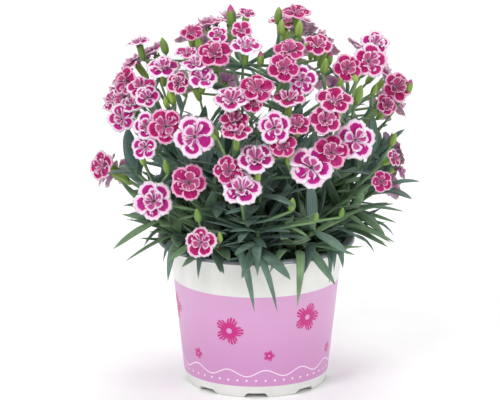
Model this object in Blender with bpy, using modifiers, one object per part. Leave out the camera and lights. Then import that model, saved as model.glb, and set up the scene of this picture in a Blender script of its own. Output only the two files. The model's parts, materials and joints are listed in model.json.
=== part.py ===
# A dianthus in its 13 cm pot: pot, soil, clumps of leafy stems, and fringed blooms on a rounded head.
# Sizes are in millimetres and are turned into metres when a mesh is made.

import math
import random
from collections import namedtuple

import bmesh
import bpy
from mathutils import Matrix, Vector
from mathutils.bvhtree import BVHTree

MM = 0.001
GAP = 0.35
TURNED_STEPS = 32

# Pot
RIM_RADIUS = 65.0
POT_HEIGHT = 98.5
RIM_DEPTH = 3.3
COLLAR_TOP_RADIUS = 58.2
BAND_TOP = 71.4
BAND_TOP_RADIUS = 54.5
BAND_BOTTOM = 8.3
BAND_BOTTOM_RADIUS = 47.3
FOOT_RADIUS = 43.6
FOOT_WIDTH = 3.4
WALL = 1.3
FLOOR_UNDERSIDE = 3.4
FEET = 8
NOTCH_WIDTH = 13.0
NOTCH_HEIGHT = 3.4
DRAIN_HOLES = 5
DRAIN_RADIUS = 3.5
DRAIN_RING = 24.0
DRAIN_SIDES = 10
FLOOR_ROUND = 4.0
RIM_ROUND = 1.8
RIM_LIP = 2.2
COLLAR_ROUND = 0.6
FOOT_TOP = 2.6
FOOT_TAPER = 2.4
NOTCH_SPLAY = 2.5
NOTCH_DEPTH = 16.0
CUT_PAST = 2.0

# Soil and the crowns that stand in it
SOIL_TOP = 88.0
SOIL_CROWN = 1.5
SOIL_CLEAR = 0.4
CROWN_SIDES = 6
CROWN_RADIUS = 5.4
CROWN_SUNK = 6.0
CROWN_TOP = 4.0
CROWN_SLOTS = 15
SLOT_SPREAD = 1.08
SLOT_SUNK = 1.2
SLOT_LEAN = 4.0
GOLDEN_TURN = math.radians(137.5)
INNER_CROWNS = 4
INNER_RING = 14.0
OUTER_CROWNS = 10
OUTER_RING = 38.0

# The rounded head that the blooms sit on, seen from the front at a low angle
VIEW_TILT = math.radians(16)
HEAD_MIDDLE = 135.0
HEAD_ABOVE = 116.0
HEAD_BELOW = 92.0
HEAD_WIDE = 98.0
HEAD_DEEP = 88.0
HEAD_DEEP_BACK = 100.0
HEAD_ROUNDNESS = 2.4

# Blooms
PETALS = 5
BLOOM_FOOT = 0.22
PLAIN_BELOW = 21.5
CALYX_LENGTH = 12.0
CALYX_RADIUS = 2.3
CALYX_LOW = 7.0
STALK_RADIUS = 0.95
STALK_FOOT = 1.15
STALK_SIDES = 3
STALK_SHARES = (0.0, 0.33, 0.67, 1.0)
BRANCH_SHARES = (0.0, 0.5, 1.0)
FREE_SHARE = 0.14
JOINT_SHARES = (0.45, 0.6, 0.75)
BRANCH_NEAR = 24.0
BRANCH_REACH = 75.0
BRANCH_RISE = 16.0
BRANCH_CHOICES = 8
STALK_TRIES = 360
SIDEWAYS_COST = 2.5
BACK_GROUP_SIZE = 4
BACK_TIERS = ((-0.05, 4, 0.0), (0.38, 4, 0.0), (0.80, 4, 0.0), (1.2, 2, 11.0))
BACK_SPREAD = 0.3
BACK_RISE = 0.18
BACK_APART = 15.0
HIDDEN_WITHIN = 10.0
BACK_WIDE = 22.0

# Leaves
LEAF_KEEL = 0.9
LEAF_EDGE = 0.35
SHOOT_RADIUS = 1.5
LEAF_LENGTH = 46.0
LEAF_WIDE = 7.4
LEAF_TRIES = 24
LEAF_REACH = 105.0
SHOOT_END = 0.97
ROOT_SHARE = 0.15
RIM_BLADE_TRIES = 240
SHOOT_TRIES = 60
LEAF_STATIONS = ((0.0, 0.0), (0.42, 1.0))
BLADE_STATIONS = ((0.0, 0.0), (0.3, 1.0), (0.68, 0.85))

GREEN = (0.13, 0.21, 0.14, 1.0)
MAGENTA = (0.62, 0.07, 0.33, 1.0)
WHITE = (0.80, 0.80, 0.78, 1.0)
BROWN = (0.035, 0.025, 0.02, 1.0)

# A bloom's middle as seen from the front: how far across from the pot's axis and how far up from its
# base, in the plane of that view. wide is its diameter, lean how far it tips from facing up, turn the
# side that it tips to, counted from the right round to the back (270 is the front).
Bloom = namedtuple("Bloom", "across up wide lean turn")

FRONT_BLOOMS = [
    [Bloom(-101, 140, 21, 72, 225)],
    [Bloom(-88, 171, 20, 66, 258), Bloom(-82, 185, 17, 35, 250), Bloom(-92, 186, 16, 40, 220),
     Bloom(-101, 181, 16, 72, 205)],
    [Bloom(-71, 185, 18, 45, 255), Bloom(-75, 191, 21, 30, 250), Bloom(-88, 199, 20, 70, 220)],
    [Bloom(-77, 221, 17, 15, 180)],
    [Bloom(-61, 204, 24, 25, 262), Bloom(-50, 194, 17, 50, 262)],
    [Bloom(-42, 227, 16, 28, 270)],
    [Bloom(-35, 197, 21, 33, 275), Bloom(-40, 206, 20, 14, 265), Bloom(-46, 215, 17, 14, 250)],
    [Bloom(-59, 166, 25, 66, 265), Bloom(-71, 165, 20, 60, 258), Bloom(-72, 144, 18, 70, 250)],
    [Bloom(-40, 159, 29, 68, 268)],
    [Bloom(-67, 117, 27, 72, 258)],
    [Bloom(-44, 129, 25, 72, 268)],
    [Bloom(-36, 90, 22, 70, 262)],
    [Bloom(-6, 240, 12, 20, 300)],
    [Bloom(-27, 213, 24, 36, 265), Bloom(-24, 228, 14, 40, 265)],
    [Bloom(-7, 218, 22, 14, 275), Bloom(-10, 230, 15, 45, 270)],
    [Bloom(-16, 183, 26, 24, 268), Bloom(2, 192, 24, 37, 270), Bloom(-2, 180, 14, 40, 270)],
    [Bloom(18, 204, 22, 46, 272), Bloom(22, 215, 22, 29, 272)],
    [Bloom(26, 240, 21, 8, 280)],
    [Bloom(40, 219, 20, 32, 275)],
    [Bloom(-14, 169, 21, 28, 270), Bloom(-13, 155, 22, 19, 270)],
    [Bloom(0, 144, 26, 39, 270), Bloom(-22, 132, 22, 49, 265), Bloom(-10, 117, 27, 40, 270)],
    [Bloom(12, 165, 24, 68, 270), Bloom(27, 167, 18, 40, 272), Bloom(18, 151, 19, 44, 270)],
    [Bloom(30, 196, 21, 70, 275), Bloom(21, 182, 24, 16, 270)],
    [Bloom(51, 182, 25, 29, 277), Bloom(44, 167, 22, 50, 275)],
    [Bloom(36, 139, 31, 56, 272), Bloom(49, 149, 24, 55, 275)],
    [Bloom(65, 157, 28, 68, 285)],
    [Bloom(60, 204, 20, 55, 275), Bloom(73, 206, 24, 60, 290), Bloom(77, 216, 20, 40, 285)],
    [Bloom(92, 192, 22, 62, 305), Bloom(87, 176, 16, 60, 300)],
    [Bloom(90, 145, 13, 60, 330)],
    [Bloom(82, 130, 15, 75, 290)],
]

# Closed buds, placed in the same view, with their length
Bud = namedtuple("Bud", "across up long")
BUDS = [
    Bud(-62, 219, 12), Bud(-57, 185, 13), Bud(-60, 181, 9), Bud(-76, 144, 10), Bud(-60, 139, 11),
    Bud(-11, 227, 12), Bud(3, 210, 11), Bud(15, 239, 12), Bud(17, 231, 11), Bud(29, 230, 12),
    Bud(34, 214, 13), Bud(49, 210, 11), Bud(46, 205, 12), Bud(61, 194, 11), Bud(56, 193, 10),
    Bud(69, 186, 15), Bud(102, 192, 11), Bud(79, 190, 9), Bud(56, 175, 11), Bud(-32, 156, 11),
    Bud(-27, 161, 10), Bud(-7, 131, 11), Bud(1, 133, 10), Bud(22, 144, 11), Bud(-39, 107, 11),
    Bud(24, 114, 11), Bud(40, 106, 8), Bud(57, 109, 8), Bud(92, 157, 10), Bud(-24, 93, 8),
    Bud(-17, 239, 15),
]

# Leaves that hang over the rim or reach past the head: tip in the same view, how far in front of the
# axis the tip is, how far across its clump stands, and its width
Blade = namedtuple("Blade", "across up reach root wide")
RIM_BLADES = [
    Blade(14, 44, 70, -24, 5.6), Blade(-1, 44, 70, -9, 5.4), Blade(27, 48, 67, 17, 4.8),
    Blade(-58, 64, 42, -22, 6.0), Blade(30, 67, 64, 28, 6.0), Blade(48, 63, 52, 32, 3.4),
    Blade(51, 71, 50, 38, 3.6), Blade(57, 73, 44, 40, 5.0), Blade(9, 70, 68, 18, 5.0),
    Blade(1, 68, 68, 8, 6.0), Blade(-61, 77, 33, -38, 3.6), Blade(-38, 66, 58, -24, 4.4),
    Blade(-74, 87, 20, -38, 4.2), Blade(-76, 96, 8, -38, 4.2), Blade(85, 91, 14, 40, 4.4),
    Blade(78, 83, 30, 40, 4.2), Blade(91, 94, 8, 40, 4.4), Blade(83, 97, 0, 40, 4.0),
]

# Leafy shoots at the sides: tip in the same view, how far behind the axis, and how far out their last
# leaf goes
SideShoot = namedtuple("SideShoot", "across up depth reach")
SIDE_SHOOTS = [
    SideShoot(84, 127, 2, 108), SideShoot(78, 146, 8, 98), SideShoot(-76, 143, -4, -90),
    SideShoot(-66, 104, -20, -84),
]

rng = random.Random(12)


def clear_scene():
    for old in list(bpy.data.objects):
        bpy.data.objects.remove(old, do_unlink=True)
    for old in list(bpy.data.collections):
        bpy.data.collections.remove(old)


def make_collection(name):
    collection = bpy.data.collections.new(name)
    bpy.context.scene.collection.children.link(collection)
    return collection


def make_material(name, colour, roughness):
    material = bpy.data.materials.new(name)
    material.use_nodes = True
    shader = material.node_tree.nodes["Principled BSDF"]
    shader.inputs["Base Color"].default_value = colour
    shader.inputs["Roughness"].default_value = roughness
    return material


clear_scene()
PARTS = make_collection("dianthus_plant")
CUTTERS = make_collection("cutters")
LEAF_GREEN = make_material("leaf_green", GREEN, 0.6)
PETAL_MAGENTA = make_material("petal_magenta", MAGENTA, 0.7)
POT_WHITE = make_material("pot_white", WHITE, 0.4)
SOIL_BROWN = make_material("soil_brown", BROWN, 0.95)


# Meshes are pairs of a list of points in millimetres and a list of faces, until they become objects.
def make_object(name, shape, collection, material=None):
    points, faces = shape
    mesh = bpy.data.meshes.new(name)
    mesh.from_pydata([p * MM for p in points], [], faces)
    if material:
        mesh.materials.append(material)
    item = bpy.data.objects.new(name, mesh)
    collection.objects.link(item)
    return item


def hide_cutter(item):
    item.hide_render = True
    item.display_type = "WIRE"


def apply_modifiers(item):
    depsgraph = bpy.context.evaluated_depsgraph_get()
    mesh = bpy.data.meshes.new_from_object(item.evaluated_get(depsgraph))
    item.modifiers.clear()
    item.data = mesh


# Turned pieces
def turned(name, profile, material):
    mesh = bpy.data.meshes.new(name)
    points = [(radius * MM, 0, height * MM) for radius, height in profile]
    mesh.from_pydata(points, [(i, i + 1) for i in range(len(points) - 1)], [])
    mesh.materials.append(material)
    item = bpy.data.objects.new(name, mesh)
    PARTS.objects.link(item)
    screw = item.modifiers.new("turn", "SCREW")
    screw.steps = TURNED_STEPS
    screw.render_steps = TURNED_STEPS
    screw.use_merge_vertices = True
    screw.merge_threshold = 0.00001
    return item


def band_radius(height):
    share = (height - BAND_BOTTOM) / (BAND_TOP - BAND_BOTTOM)
    return BAND_BOTTOM_RADIUS + share * (BAND_TOP_RADIUS - BAND_BOTTOM_RADIUS)


def pot_profile():
    floor = FLOOR_UNDERSIDE + WALL
    under_rim = POT_HEIGHT - RIM_DEPTH
    inner_foot = FOOT_RADIUS - FOOT_WIDTH
    return [
        (0, floor),
        (BAND_BOTTOM_RADIUS - WALL - FLOOR_ROUND, floor),
        (BAND_BOTTOM_RADIUS - WALL, BAND_BOTTOM + WALL),
        (BAND_TOP_RADIUS - WALL, BAND_TOP),
        (COLLAR_TOP_RADIUS - WALL, under_rim),
        (COLLAR_TOP_RADIUS + COLLAR_ROUND, POT_HEIGHT - COLLAR_ROUND),
        (COLLAR_TOP_RADIUS + RIM_LIP, POT_HEIGHT),
        (RIM_RADIUS - RIM_LIP, POT_HEIGHT),
        (RIM_RADIUS, POT_HEIGHT - RIM_ROUND),
        (RIM_RADIUS, under_rim + COLLAR_ROUND),
        (RIM_RADIUS - COLLAR_ROUND, under_rim),
        (COLLAR_TOP_RADIUS, under_rim),
        (BAND_TOP_RADIUS, BAND_TOP),
        (BAND_BOTTOM_RADIUS, BAND_BOTTOM),
        (FOOT_RADIUS + FOOT_TAPER, FOOT_TOP),
        (FOOT_RADIUS, 0),
        (inner_foot, 0),
        (inner_foot - COLLAR_ROUND, FLOOR_UNDERSIDE),
        (0, FLOOR_UNDERSIDE),
    ]


def notch_cutter(angle):
    bm = bmesh.new()
    bmesh.ops.create_cube(bm, size=1.0)
    for vert in bm.verts:
        top = vert.co.z > 0
        half = NOTCH_WIDTH / 2 + (0 if top else NOTCH_SPLAY)
        height = NOTCH_HEIGHT if top else -CUT_PAST
        vert.co = Vector((vert.co.x * NOTCH_DEPTH, math.copysign(half, vert.co.y), height))
    bm.transform(Matrix.Rotation(angle, 4, "Z") @ Matrix.Translation((FOOT_RADIUS, 0, 0)))
    bmesh.ops.scale(bm, vec=(MM, MM, MM), verts=bm.verts)
    return bm


def drain_cutter(angle):
    bm = bmesh.new()
    depth = 2 * (WALL + CUT_PAST)
    bmesh.ops.create_cone(
        bm, cap_ends=True, segments=DRAIN_SIDES, radius1=DRAIN_RADIUS, radius2=DRAIN_RADIUS, depth=depth)
    place = (DRAIN_RING * math.cos(angle), DRAIN_RING * math.sin(angle), FLOOR_UNDERSIDE)
    bm.transform(Matrix.Translation(place))
    bmesh.ops.scale(bm, vec=(MM, MM, MM), verts=bm.verts)
    return bm


def hole_cutter(crown):
    bm = bmesh.new()
    radius = CROWN_RADIUS / math.cos(math.pi / CROWN_SIDES) + GAP
    depth = 2 * (CROWN_SUNK + 2 * SOIL_CLEAR)
    bmesh.ops.create_cone(
        bm, cap_ends=True, segments=CROWN_SIDES, radius1=radius, radius2=radius, depth=depth)
    bm.transform(Matrix.Translation((crown.x, crown.y, SOIL_TOP)))
    bmesh.ops.scale(bm, vec=(MM, MM, MM), verts=bm.verts)
    return bm


def cut_away(item, cutters, name):
    tools = bpy.data.collections.new(name)
    CUTTERS.children.link(tools)
    for number, bm in enumerate(cutters):
        mesh = bpy.data.meshes.new(f"{name}_{number}")
        bm.to_mesh(mesh)
        bm.free()
        tool = bpy.data.objects.new(mesh.name, mesh)
        tools.objects.link(tool)
        hide_cutter(tool)
    cut = item.modifiers.new(name, "BOOLEAN")
    cut.operation = "DIFFERENCE"
    cut.operand_type = "COLLECTION"
    cut.collection = tools
    cut.solver = "EXACT"


def make_pot():
    pot = turned("pot", pot_profile(), POT_WHITE)
    front = math.radians(-90)
    notches = [notch_cutter(front + i * math.tau / FEET) for i in range(FEET)]
    drains = [drain_cutter(front + i * math.tau / DRAIN_HOLES) for i in range(DRAIN_HOLES)]
    cut_away(pot, notches + drains, "pot_cuts")
    return pot


def make_soil(crowns):
    floor = FLOOR_UNDERSIDE + WALL + SOIL_CLEAR
    clear = WALL + SOIL_CLEAR
    share = (SOIL_TOP - BAND_TOP) / (POT_HEIGHT - RIM_DEPTH - BAND_TOP)
    top_radius = BAND_TOP_RADIUS + share * (COLLAR_TOP_RADIUS - BAND_TOP_RADIUS)
    profile = [
        (0, SOIL_TOP + SOIL_CROWN),
        (top_radius * 0.6, SOIL_TOP + SOIL_CROWN * 0.6),
        (top_radius - clear, SOIL_TOP),
        (BAND_TOP_RADIUS - clear, BAND_TOP),
        (BAND_BOTTOM_RADIUS - clear, BAND_BOTTOM + 2 * WALL),
        (BAND_BOTTOM_RADIUS - clear - FLOOR_ROUND, floor),
        (0, floor),
    ]
    soil = turned("soil", profile, SOIL_BROWN)
    cut_away(soil, [hole_cutter(crown) for crown in crowns], "soil_holes")
    return soil


# Sections along a path closed into one body. A first or last section of one point ends it in a tip.
def loft(sections):
    points = [p for section in sections for p in section]
    faces = []
    if len(sections[0]) > 1:
        faces.append(tuple(reversed(range(len(sections[0])))))
    start = 0
    for section, following in zip(sections, sections[1:]):
        ahead = start + len(section)
        sides = max(len(section), len(following))
        for i in range(sides):
            j = (i + 1) % sides
            if len(following) == 1:
                faces.append((start + i, start + j, ahead))
            elif len(section) == 1:
                faces.append((start, ahead + j, ahead + i))
            else:
                faces.append((start + i, start + j, ahead + j))
                faces.append((start + i, ahead + j, ahead + i))
        start = ahead
    if len(sections[-1]) > 1:
        faces.append(tuple(range(start, start + len(sections[-1]))))
    return points, faces


def stalk(path, radii, sides):
    side = None
    sections = []
    for i, (point, radius) in enumerate(zip(path, radii)):
        ahead = (path[min(i + 1, len(path) - 1)] - path[max(i - 1, 0)]).normalized()
        start = side or ahead.orthogonal()
        side = (start - ahead * start.dot(ahead)).normalized()
        other = ahead.cross(side)
        if radius == 0:
            sections.append([point])
            continue
        turns = [math.tau * k / sides for k in range(sides)]
        sections.append([point + (side * math.cos(t) + other * math.sin(t)) * radius for t in turns])
    return loft(sections)


# A narrow keeled leaf along a curve from its root, through a middle point, to its tip. stations are
# pairs of a share of the leaf's length and its width there, as a share of the widest.
def leaf(root, middle, tip, wide, stations, grown=0.0):
    across = (tip - root).cross(Vector((0, 0, 1)))
    if across.length < 4:
        across = Vector((0.1 - root.y, root.x, 0))
    across.normalize()
    sections = [] if stations[0][0] else [[root]]
    for share, width in stations:
        if width == 0:
            continue
        point = root * (1 - share) ** 2 + middle * 2 * share * (1 - share) + tip * share ** 2
        ahead = ((middle - root) * (1 - share) + (tip - middle) * share).normalized()
        face = across.cross(ahead).normalized()
        if face.z < 0:
            face = -face
        half = across * (width * wide / 2 + grown)
        thick = min(1.0, width + 0.15)
        above = face * (LEAF_EDGE * thick + grown)
        section = [point + half + above, point - half + above, point - face * (LEAF_KEEL * thick + grown)]
        if across.cross(face).dot(ahead) < 0:
            section.reverse()
        sections.append(section)
    sections.append([tip])
    return loft(sections)


# One bloom, facing up: a low middle, a raised inner frill, a crease under it, five waved outer
# petals, and a foot. The rings are pairs of reach and height, as shares of the radius, for the notch
# and the edge of one petal.
FULL_RINGS = (
    (1, ((0.30, 0.12), (0.56, 0.26), (0.52, 0.18))),
    (1, ((0.22, 0.02), (0.32, 0.02), (0.32, 0.02))),
    (0, ((0.66, -0.03), (1.00, 0.11), (0.97, 0.0))),
)
PLAIN_RINGS = (
    (1, ((0.34, 0.12), (0.56, 0.24))),
    (1, ((0.25, 0.02), (0.34, 0.02))),
    (0, ((0.74, -0.04), (1.02, 0.09))),
)


def bloom(wide, rings, grown=0.0):
    radius = wide / 2 + grown
    count = PETALS * len(rings[0][1])
    rows = [[Vector((0, 0, 0.10 * radius + grown))]]
    for shift, ring in rings:
        row = []
        for i in range(count):
            reach, height = ring[(i + shift) % len(ring)]
            turn = math.tau * i / count
            row.append(Vector((reach * math.cos(turn), reach * math.sin(turn), height)) * radius)
        rows.append(row)
    points = [p for row in rows for p in row] + [Vector((0, 0, -BLOOM_FOOT * radius - grown))]
    return points, bloom_faces(count)


def bloom_faces(count):
    faces = []
    foot = 1 + 3 * count
    for i in range(count):
        j = (i + 1) % count
        faces.append((0, 1 + i, 1 + j))
        for start in (1, 1 + count):
            faces.append((start + i, start + count + i, start + count + j))
            faces.append((start + i, start + count + j, start + j))
        last = 1 + 2 * count
        faces.append((last + i, foot, last + j))
    return faces


def facing(lean, turn):
    lean = math.radians(lean)
    turn = math.radians(turn)
    return Vector((math.sin(lean) * math.cos(turn), math.sin(lean) * math.sin(turn), math.cos(lean)))


def moved(shape, centre, direction, spin):
    turn = direction.to_track_quat("Z", "Y").to_matrix().to_4x4() @ Matrix.Rotation(spin, 4, "Z")
    place = Matrix.Translation(centre) @ turn
    return [place @ p for p in shape[0]], shape[1]


# What is already placed, by the node that it belongs to, with a box round it for a quick first test
class Space:
    def __init__(self):
        self.items = []

    def add(self, owner, shape):
        low = [min(p[k] for p in shape[0]) for k in range(3)]
        high = [max(p[k] for p in shape[0]) for k in range(3)]
        self.items.append((owner, low, high, BVHTree.FromPolygons(shape[0], shape[1])))

    def meets(self, shape, skip=None):
        low = [min(p[k] for p in shape[0]) for k in range(3)]
        high = [max(p[k] for p in shape[0]) for k in range(3)]
        tree = None
        for owner, other_low, other_high, other in self.items:
            if owner == skip:
                continue
            if any(low[k] > other_high[k] or high[k] < other_low[k] for k in range(3)):
                continue
            tree = tree or BVHTree.FromPolygons(shape[0], shape[1])
            if tree.overlap(other):
                return True
        return False


space = Space()
nodes = {}


def keep(owner, shape):
    nodes.setdefault(owner, []).append(shape)
    space.add(owner, shape)


# Where a point seen from the front lies on the head: its depth is where its line of sight meets the
# head
def head_share(point):
    tall = HEAD_ABOVE if point.z > HEAD_MIDDLE else HEAD_BELOW
    deep = HEAD_DEEP if point.y < 0 else HEAD_DEEP_BACK
    sizes = (HEAD_WIDE, deep, tall)
    offsets = (point.x, point.y, point.z - HEAD_MIDDLE)
    return sum(abs(offset / size) ** HEAD_ROUNDNESS for offset, size in zip(offsets, sizes))


def seen_at(across, up, depth):
    return Vector((across, depth, (up - depth * math.sin(VIEW_TILT)) / math.cos(VIEW_TILT)))


def on_head(across, up, size=1.0):
    near, far = -HEAD_DEEP * 1.1, 0.0
    limit = size ** HEAD_ROUNDNESS
    if head_share(seen_at(across, up, far)) > limit:
        return seen_at(across, up, far)
    for _ in range(30):
        depth = (near + far) / 2
        if head_share(seen_at(across, up, depth)) > limit:
            near = depth
        else:
            far = depth
    return seen_at(across, up, far)


AWAY = Vector((0, math.cos(VIEW_TILT), -math.sin(VIEW_TILT)))
Placed = namedtuple("Placed", "owner centre direction wide shape")
placed = []


def shifted(shape, step):
    return [p + step for p in shape[0]], shape[1]


def crosses(shape, other):
    return bool(BVHTree.FromPolygons(*shape).overlap(BVHTree.FromPolygons(*other)))


def foot_of(centre, direction, wide):
    return centre - direction * (BLOOM_FOOT * wide / 2 + GAP)


# The room that a calyx needs behind its bloom
def calyx_room(centre, direction, wide):
    top = foot_of(centre, direction, wide)
    return stalk([top - direction * CALYX_LOW, top], [STALK_RADIUS, CALYX_RADIUS + GAP], 4)


def calyxes_clear(shape, centre, direction, wide, mates):
    room = calyx_room(centre, direction, wide)
    for mate in mates:
        mate_room = calyx_room(mate.centre, mate.direction, mate.wide)
        if crosses(room, mate.shape) or crosses(shape, mate_room):
            return False
    return True


# Places beside a mate for a bloom that should touch it, the ones that move it least first
def places_beside(centre, direction, wide, mate):
    offset = centre - mate.centre
    along = offset.dot(direction)
    side = offset - direction * along
    side = side.normalized() if side.length > 1 else direction.orthogonal().normalized()
    reach = (wide + mate.wide) / 2
    spots = [mate.centre + side * reach * (0.4 + 0.04 * i) + direction * along * (1 - 0.2 * k)
             for i in range(15) for k in range(6)]
    return sorted([centre] + spots, key=lambda spot: (spot - centre).length)


# A group's blooms touch, and neither covers the other's calyx
def settle(owner, centre, direction, wide, mates):
    spin = rng.uniform(0, math.tau)
    rings = PLAIN_RINGS if owner.startswith("blooms_back") or wide < PLAIN_BELOW else FULL_RINGS
    shape = moved(bloom(wide, rings), centre, direction, spin)
    tested = moved(bloom(wide, rings, GAP), centre, direction, spin)
    if not mates:
        return Placed(owner, centre, direction, wide, shape), tested
    mate = min(mates, key=lambda m: (m.centre - centre).length)
    touching = None
    for spot in places_beside(centre, direction, wide, mate):
        trial = shifted(shape, spot - centre)
        if any(crosses(trial, mate.shape) for mate in mates):
            touching = touching or spot
            if calyxes_clear(trial, spot, direction, wide, mates):
                touching = spot
                break
    if touching is None:
        return None, None
    move = touching - centre
    return Placed(owner, touching, direction, wide, shifted(shape, move)), shifted(tested, move)


def place_group(owner, wanted, push):
    shift = 0.0
    state = rng.getstate()
    for _ in range(60):
        rng.setstate(state)
        count = len(space.items)
        mates = []
        for centre, direction, wide in wanted:
            mate, tested = settle(owner, centre + push * shift, direction, wide, mates)
            if mate is None or space.meets(tested, skip=owner):
                break
            space.add(owner, mate.shape)
            mates.append(mate)
        if len(mates) == len(wanted):
            nodes[owner] = [mate.shape for mate in mates]
            placed.extend(mates)
            return True
        del space.items[count:]
        shift += 1.0
    return False


def place_front_blooms():
    for number, group in enumerate(FRONT_BLOOMS, 1):
        wanted = [(on_head(b.across, b.up), facing(b.lean, b.turn), b.wide) for b in group]
        if not place_group(f"blooms_front_{number:02d}", wanted, AWAY):
            print("no room for front group", number)


# The back is filled by rule, where the blooms in front hide it from the front. A tier is how far it
# rises, how many groups it has and how far it is sunk below the head's surface.
def behind_front(point):
    up = point.z * math.cos(VIEW_TILT) + point.y * math.sin(VIEW_TILT)
    blooms = [b for group in FRONT_BLOOMS for b in group]
    return any((b.across - point.x) ** 2 + (b.up - up) ** 2 < HIDDEN_WITHIN ** 2 for b in blooms)


def back_point(turn, rise):
    direction = Vector((math.cos(turn) * math.cos(rise), math.sin(turn) * math.cos(rise), math.sin(rise)))
    reach = 40.0
    while head_share(Vector((0, 0, HEAD_MIDDLE)) + direction * reach) < 1:
        reach += 1.0
    return Vector((0, 0, HEAD_MIDDLE)) + direction * reach


def back_group(turn, rise, sunk):
    wanted = []
    for _ in range(BACK_GROUP_SIZE):
        for _ in range(80):
            across = rng.uniform(-BACK_SPREAD, BACK_SPREAD)
            up = rng.uniform(-BACK_RISE, BACK_RISE)
            point = back_point(turn + across, rise + up) - Vector((0, 0, sunk))
            apart = all((point - other).length > BACK_APART for other, _, _ in wanted)
            if apart and behind_front(point):
                outward = Vector((point.x, point.y, (point.z - HEAD_MIDDLE) * 0.8 + 38)).normalized()
                wanted.append((point, outward, BACK_WIDE * rng.uniform(0.85, 1.15)))
                break
    return wanted


def place_back_blooms():
    made = 0
    for rise, count, sunk in BACK_TIERS:
        for i in range(count):
            turn = math.pi * (i + 0.5) / count
            wanted = back_group(turn, rise, sunk)
            made += 1
            if not wanted or not place_group(f"blooms_back_{made:02d}", wanted, Vector((0, -0.9, 0.2))):
                print("no room for back group", made)


# Clumps of stems
def crown_places():
    places = []
    for count, ring, start in ((INNER_CROWNS, INNER_RING, 45), (OUTER_CROWNS, OUTER_RING, -90)):
        for i in range(count):
            turn = math.radians(start) + math.tau * i / count
            places.append(Vector((ring * math.cos(turn), ring * math.sin(turn), SOIL_TOP)))
    return places


# The roots on a crown are packed like seeds in a flower head, so that they stand apart
def crown_slots():
    places = []
    for k in range(CROWN_SLOTS):
        turn = GOLDEN_TURN * k
        reach = SLOT_SPREAD * math.sqrt(k + 0.3)
        places.append(Vector((reach * math.cos(turn), reach * math.sin(turn), CROWN_TOP - SLOT_SUNK)))
    return places


CROWNS = crown_places()
free_slots = [crown_slots() for _ in CROWNS]
joints = []
shoot_ends = {}


def crown_name(number):
    return f"leafy_stems_{number + 1:02d}"


def flat(point):
    return Vector((point.x, point.y, 0))


def place_crowns():
    for number, place in enumerate(CROWNS):
        path = [place - Vector((0, 0, CROWN_SUNK)), place + Vector((0, 0, CROWN_TOP))]
        keep(crown_name(number), stalk(path, [CROWN_RADIUS, CROWN_RADIUS * 0.85], CROWN_SIDES))


def crown_order(goal):
    return sorted(range(len(CROWNS)), key=lambda n: (flat(CROWNS[n]) - goal).length)


def slot_for(number, point):
    side = (flat(point) - flat(CROWNS[number])).normalized() * SLOT_LEAN
    return min(free_slots[number], key=lambda slot: (flat(slot) - side).length, default=None)


def curve(a, b, c, d, share):
    rest = 1 - share
    return a * rest ** 3 + b * 3 * share * rest ** 2 + c * 3 * share ** 2 * rest + d * share ** 3


# The point at a share of a route on the straight runs of its solid, which meet at the shares of its
# stations
def on_runs(route, shares, share):
    for start, end in zip(shares, shares[1:]):
        if share <= end:
            part = (share - start) / (end - start)
            return curve(*route, start) * (1 - part) + curve(*route, end) * part
    return route[3]


# A place on a route's solid and the way that it runs there
def on_stalk(route, shares, share):
    before = on_runs(route, shares, share - 0.02)
    after = on_runs(route, shares, min(1, share + 0.02))
    return on_runs(route, shares, share), (after - before).normalized()


def sway(amount, upright=0.5):
    return Vector([rng.uniform(-amount, amount) * k for k in (1, 1, upright)])


# A stalk meets nothing of another clump, and its own clump only at its root
def try_stalk(number, route, shares, head, radii, alone=True):
    owner = crown_name(number)
    full = [curve(*route, share) for share in shares] + head
    free = [on_runs(route, shares, share or FREE_SHARE) for share in shares] + head
    if space.meets(stalk(full, [r + GAP if r else 0 for r in radii], STALK_SIDES), skip=owner):
        return False
    if alone and space.meets(stalk(free, [r + 0.1 if r else 0 for r in radii], STALK_SIDES)):
        return False
    keep(owner, stalk(full, radii, STALK_SIDES))
    joints.extend((number, *on_stalk(route, shares, share)) for share in JOINT_SHARES)
    return True


# Joints on the stalks, from which another stalk can branch off to a point
def joints_near(top):
    def fits(joint):
        return top.z - joint[1].z > BRANCH_RISE and BRANCH_NEAR < (top - joint[1]).length < BRANCH_REACH

    def cost(joint):
        return (top - joint[1]).length + SIDEWAYS_COST * (flat(top) - flat(joint[1])).length
    return sorted(filter(fits, joints), key=cost)[:BRANCH_CHOICES]


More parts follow.
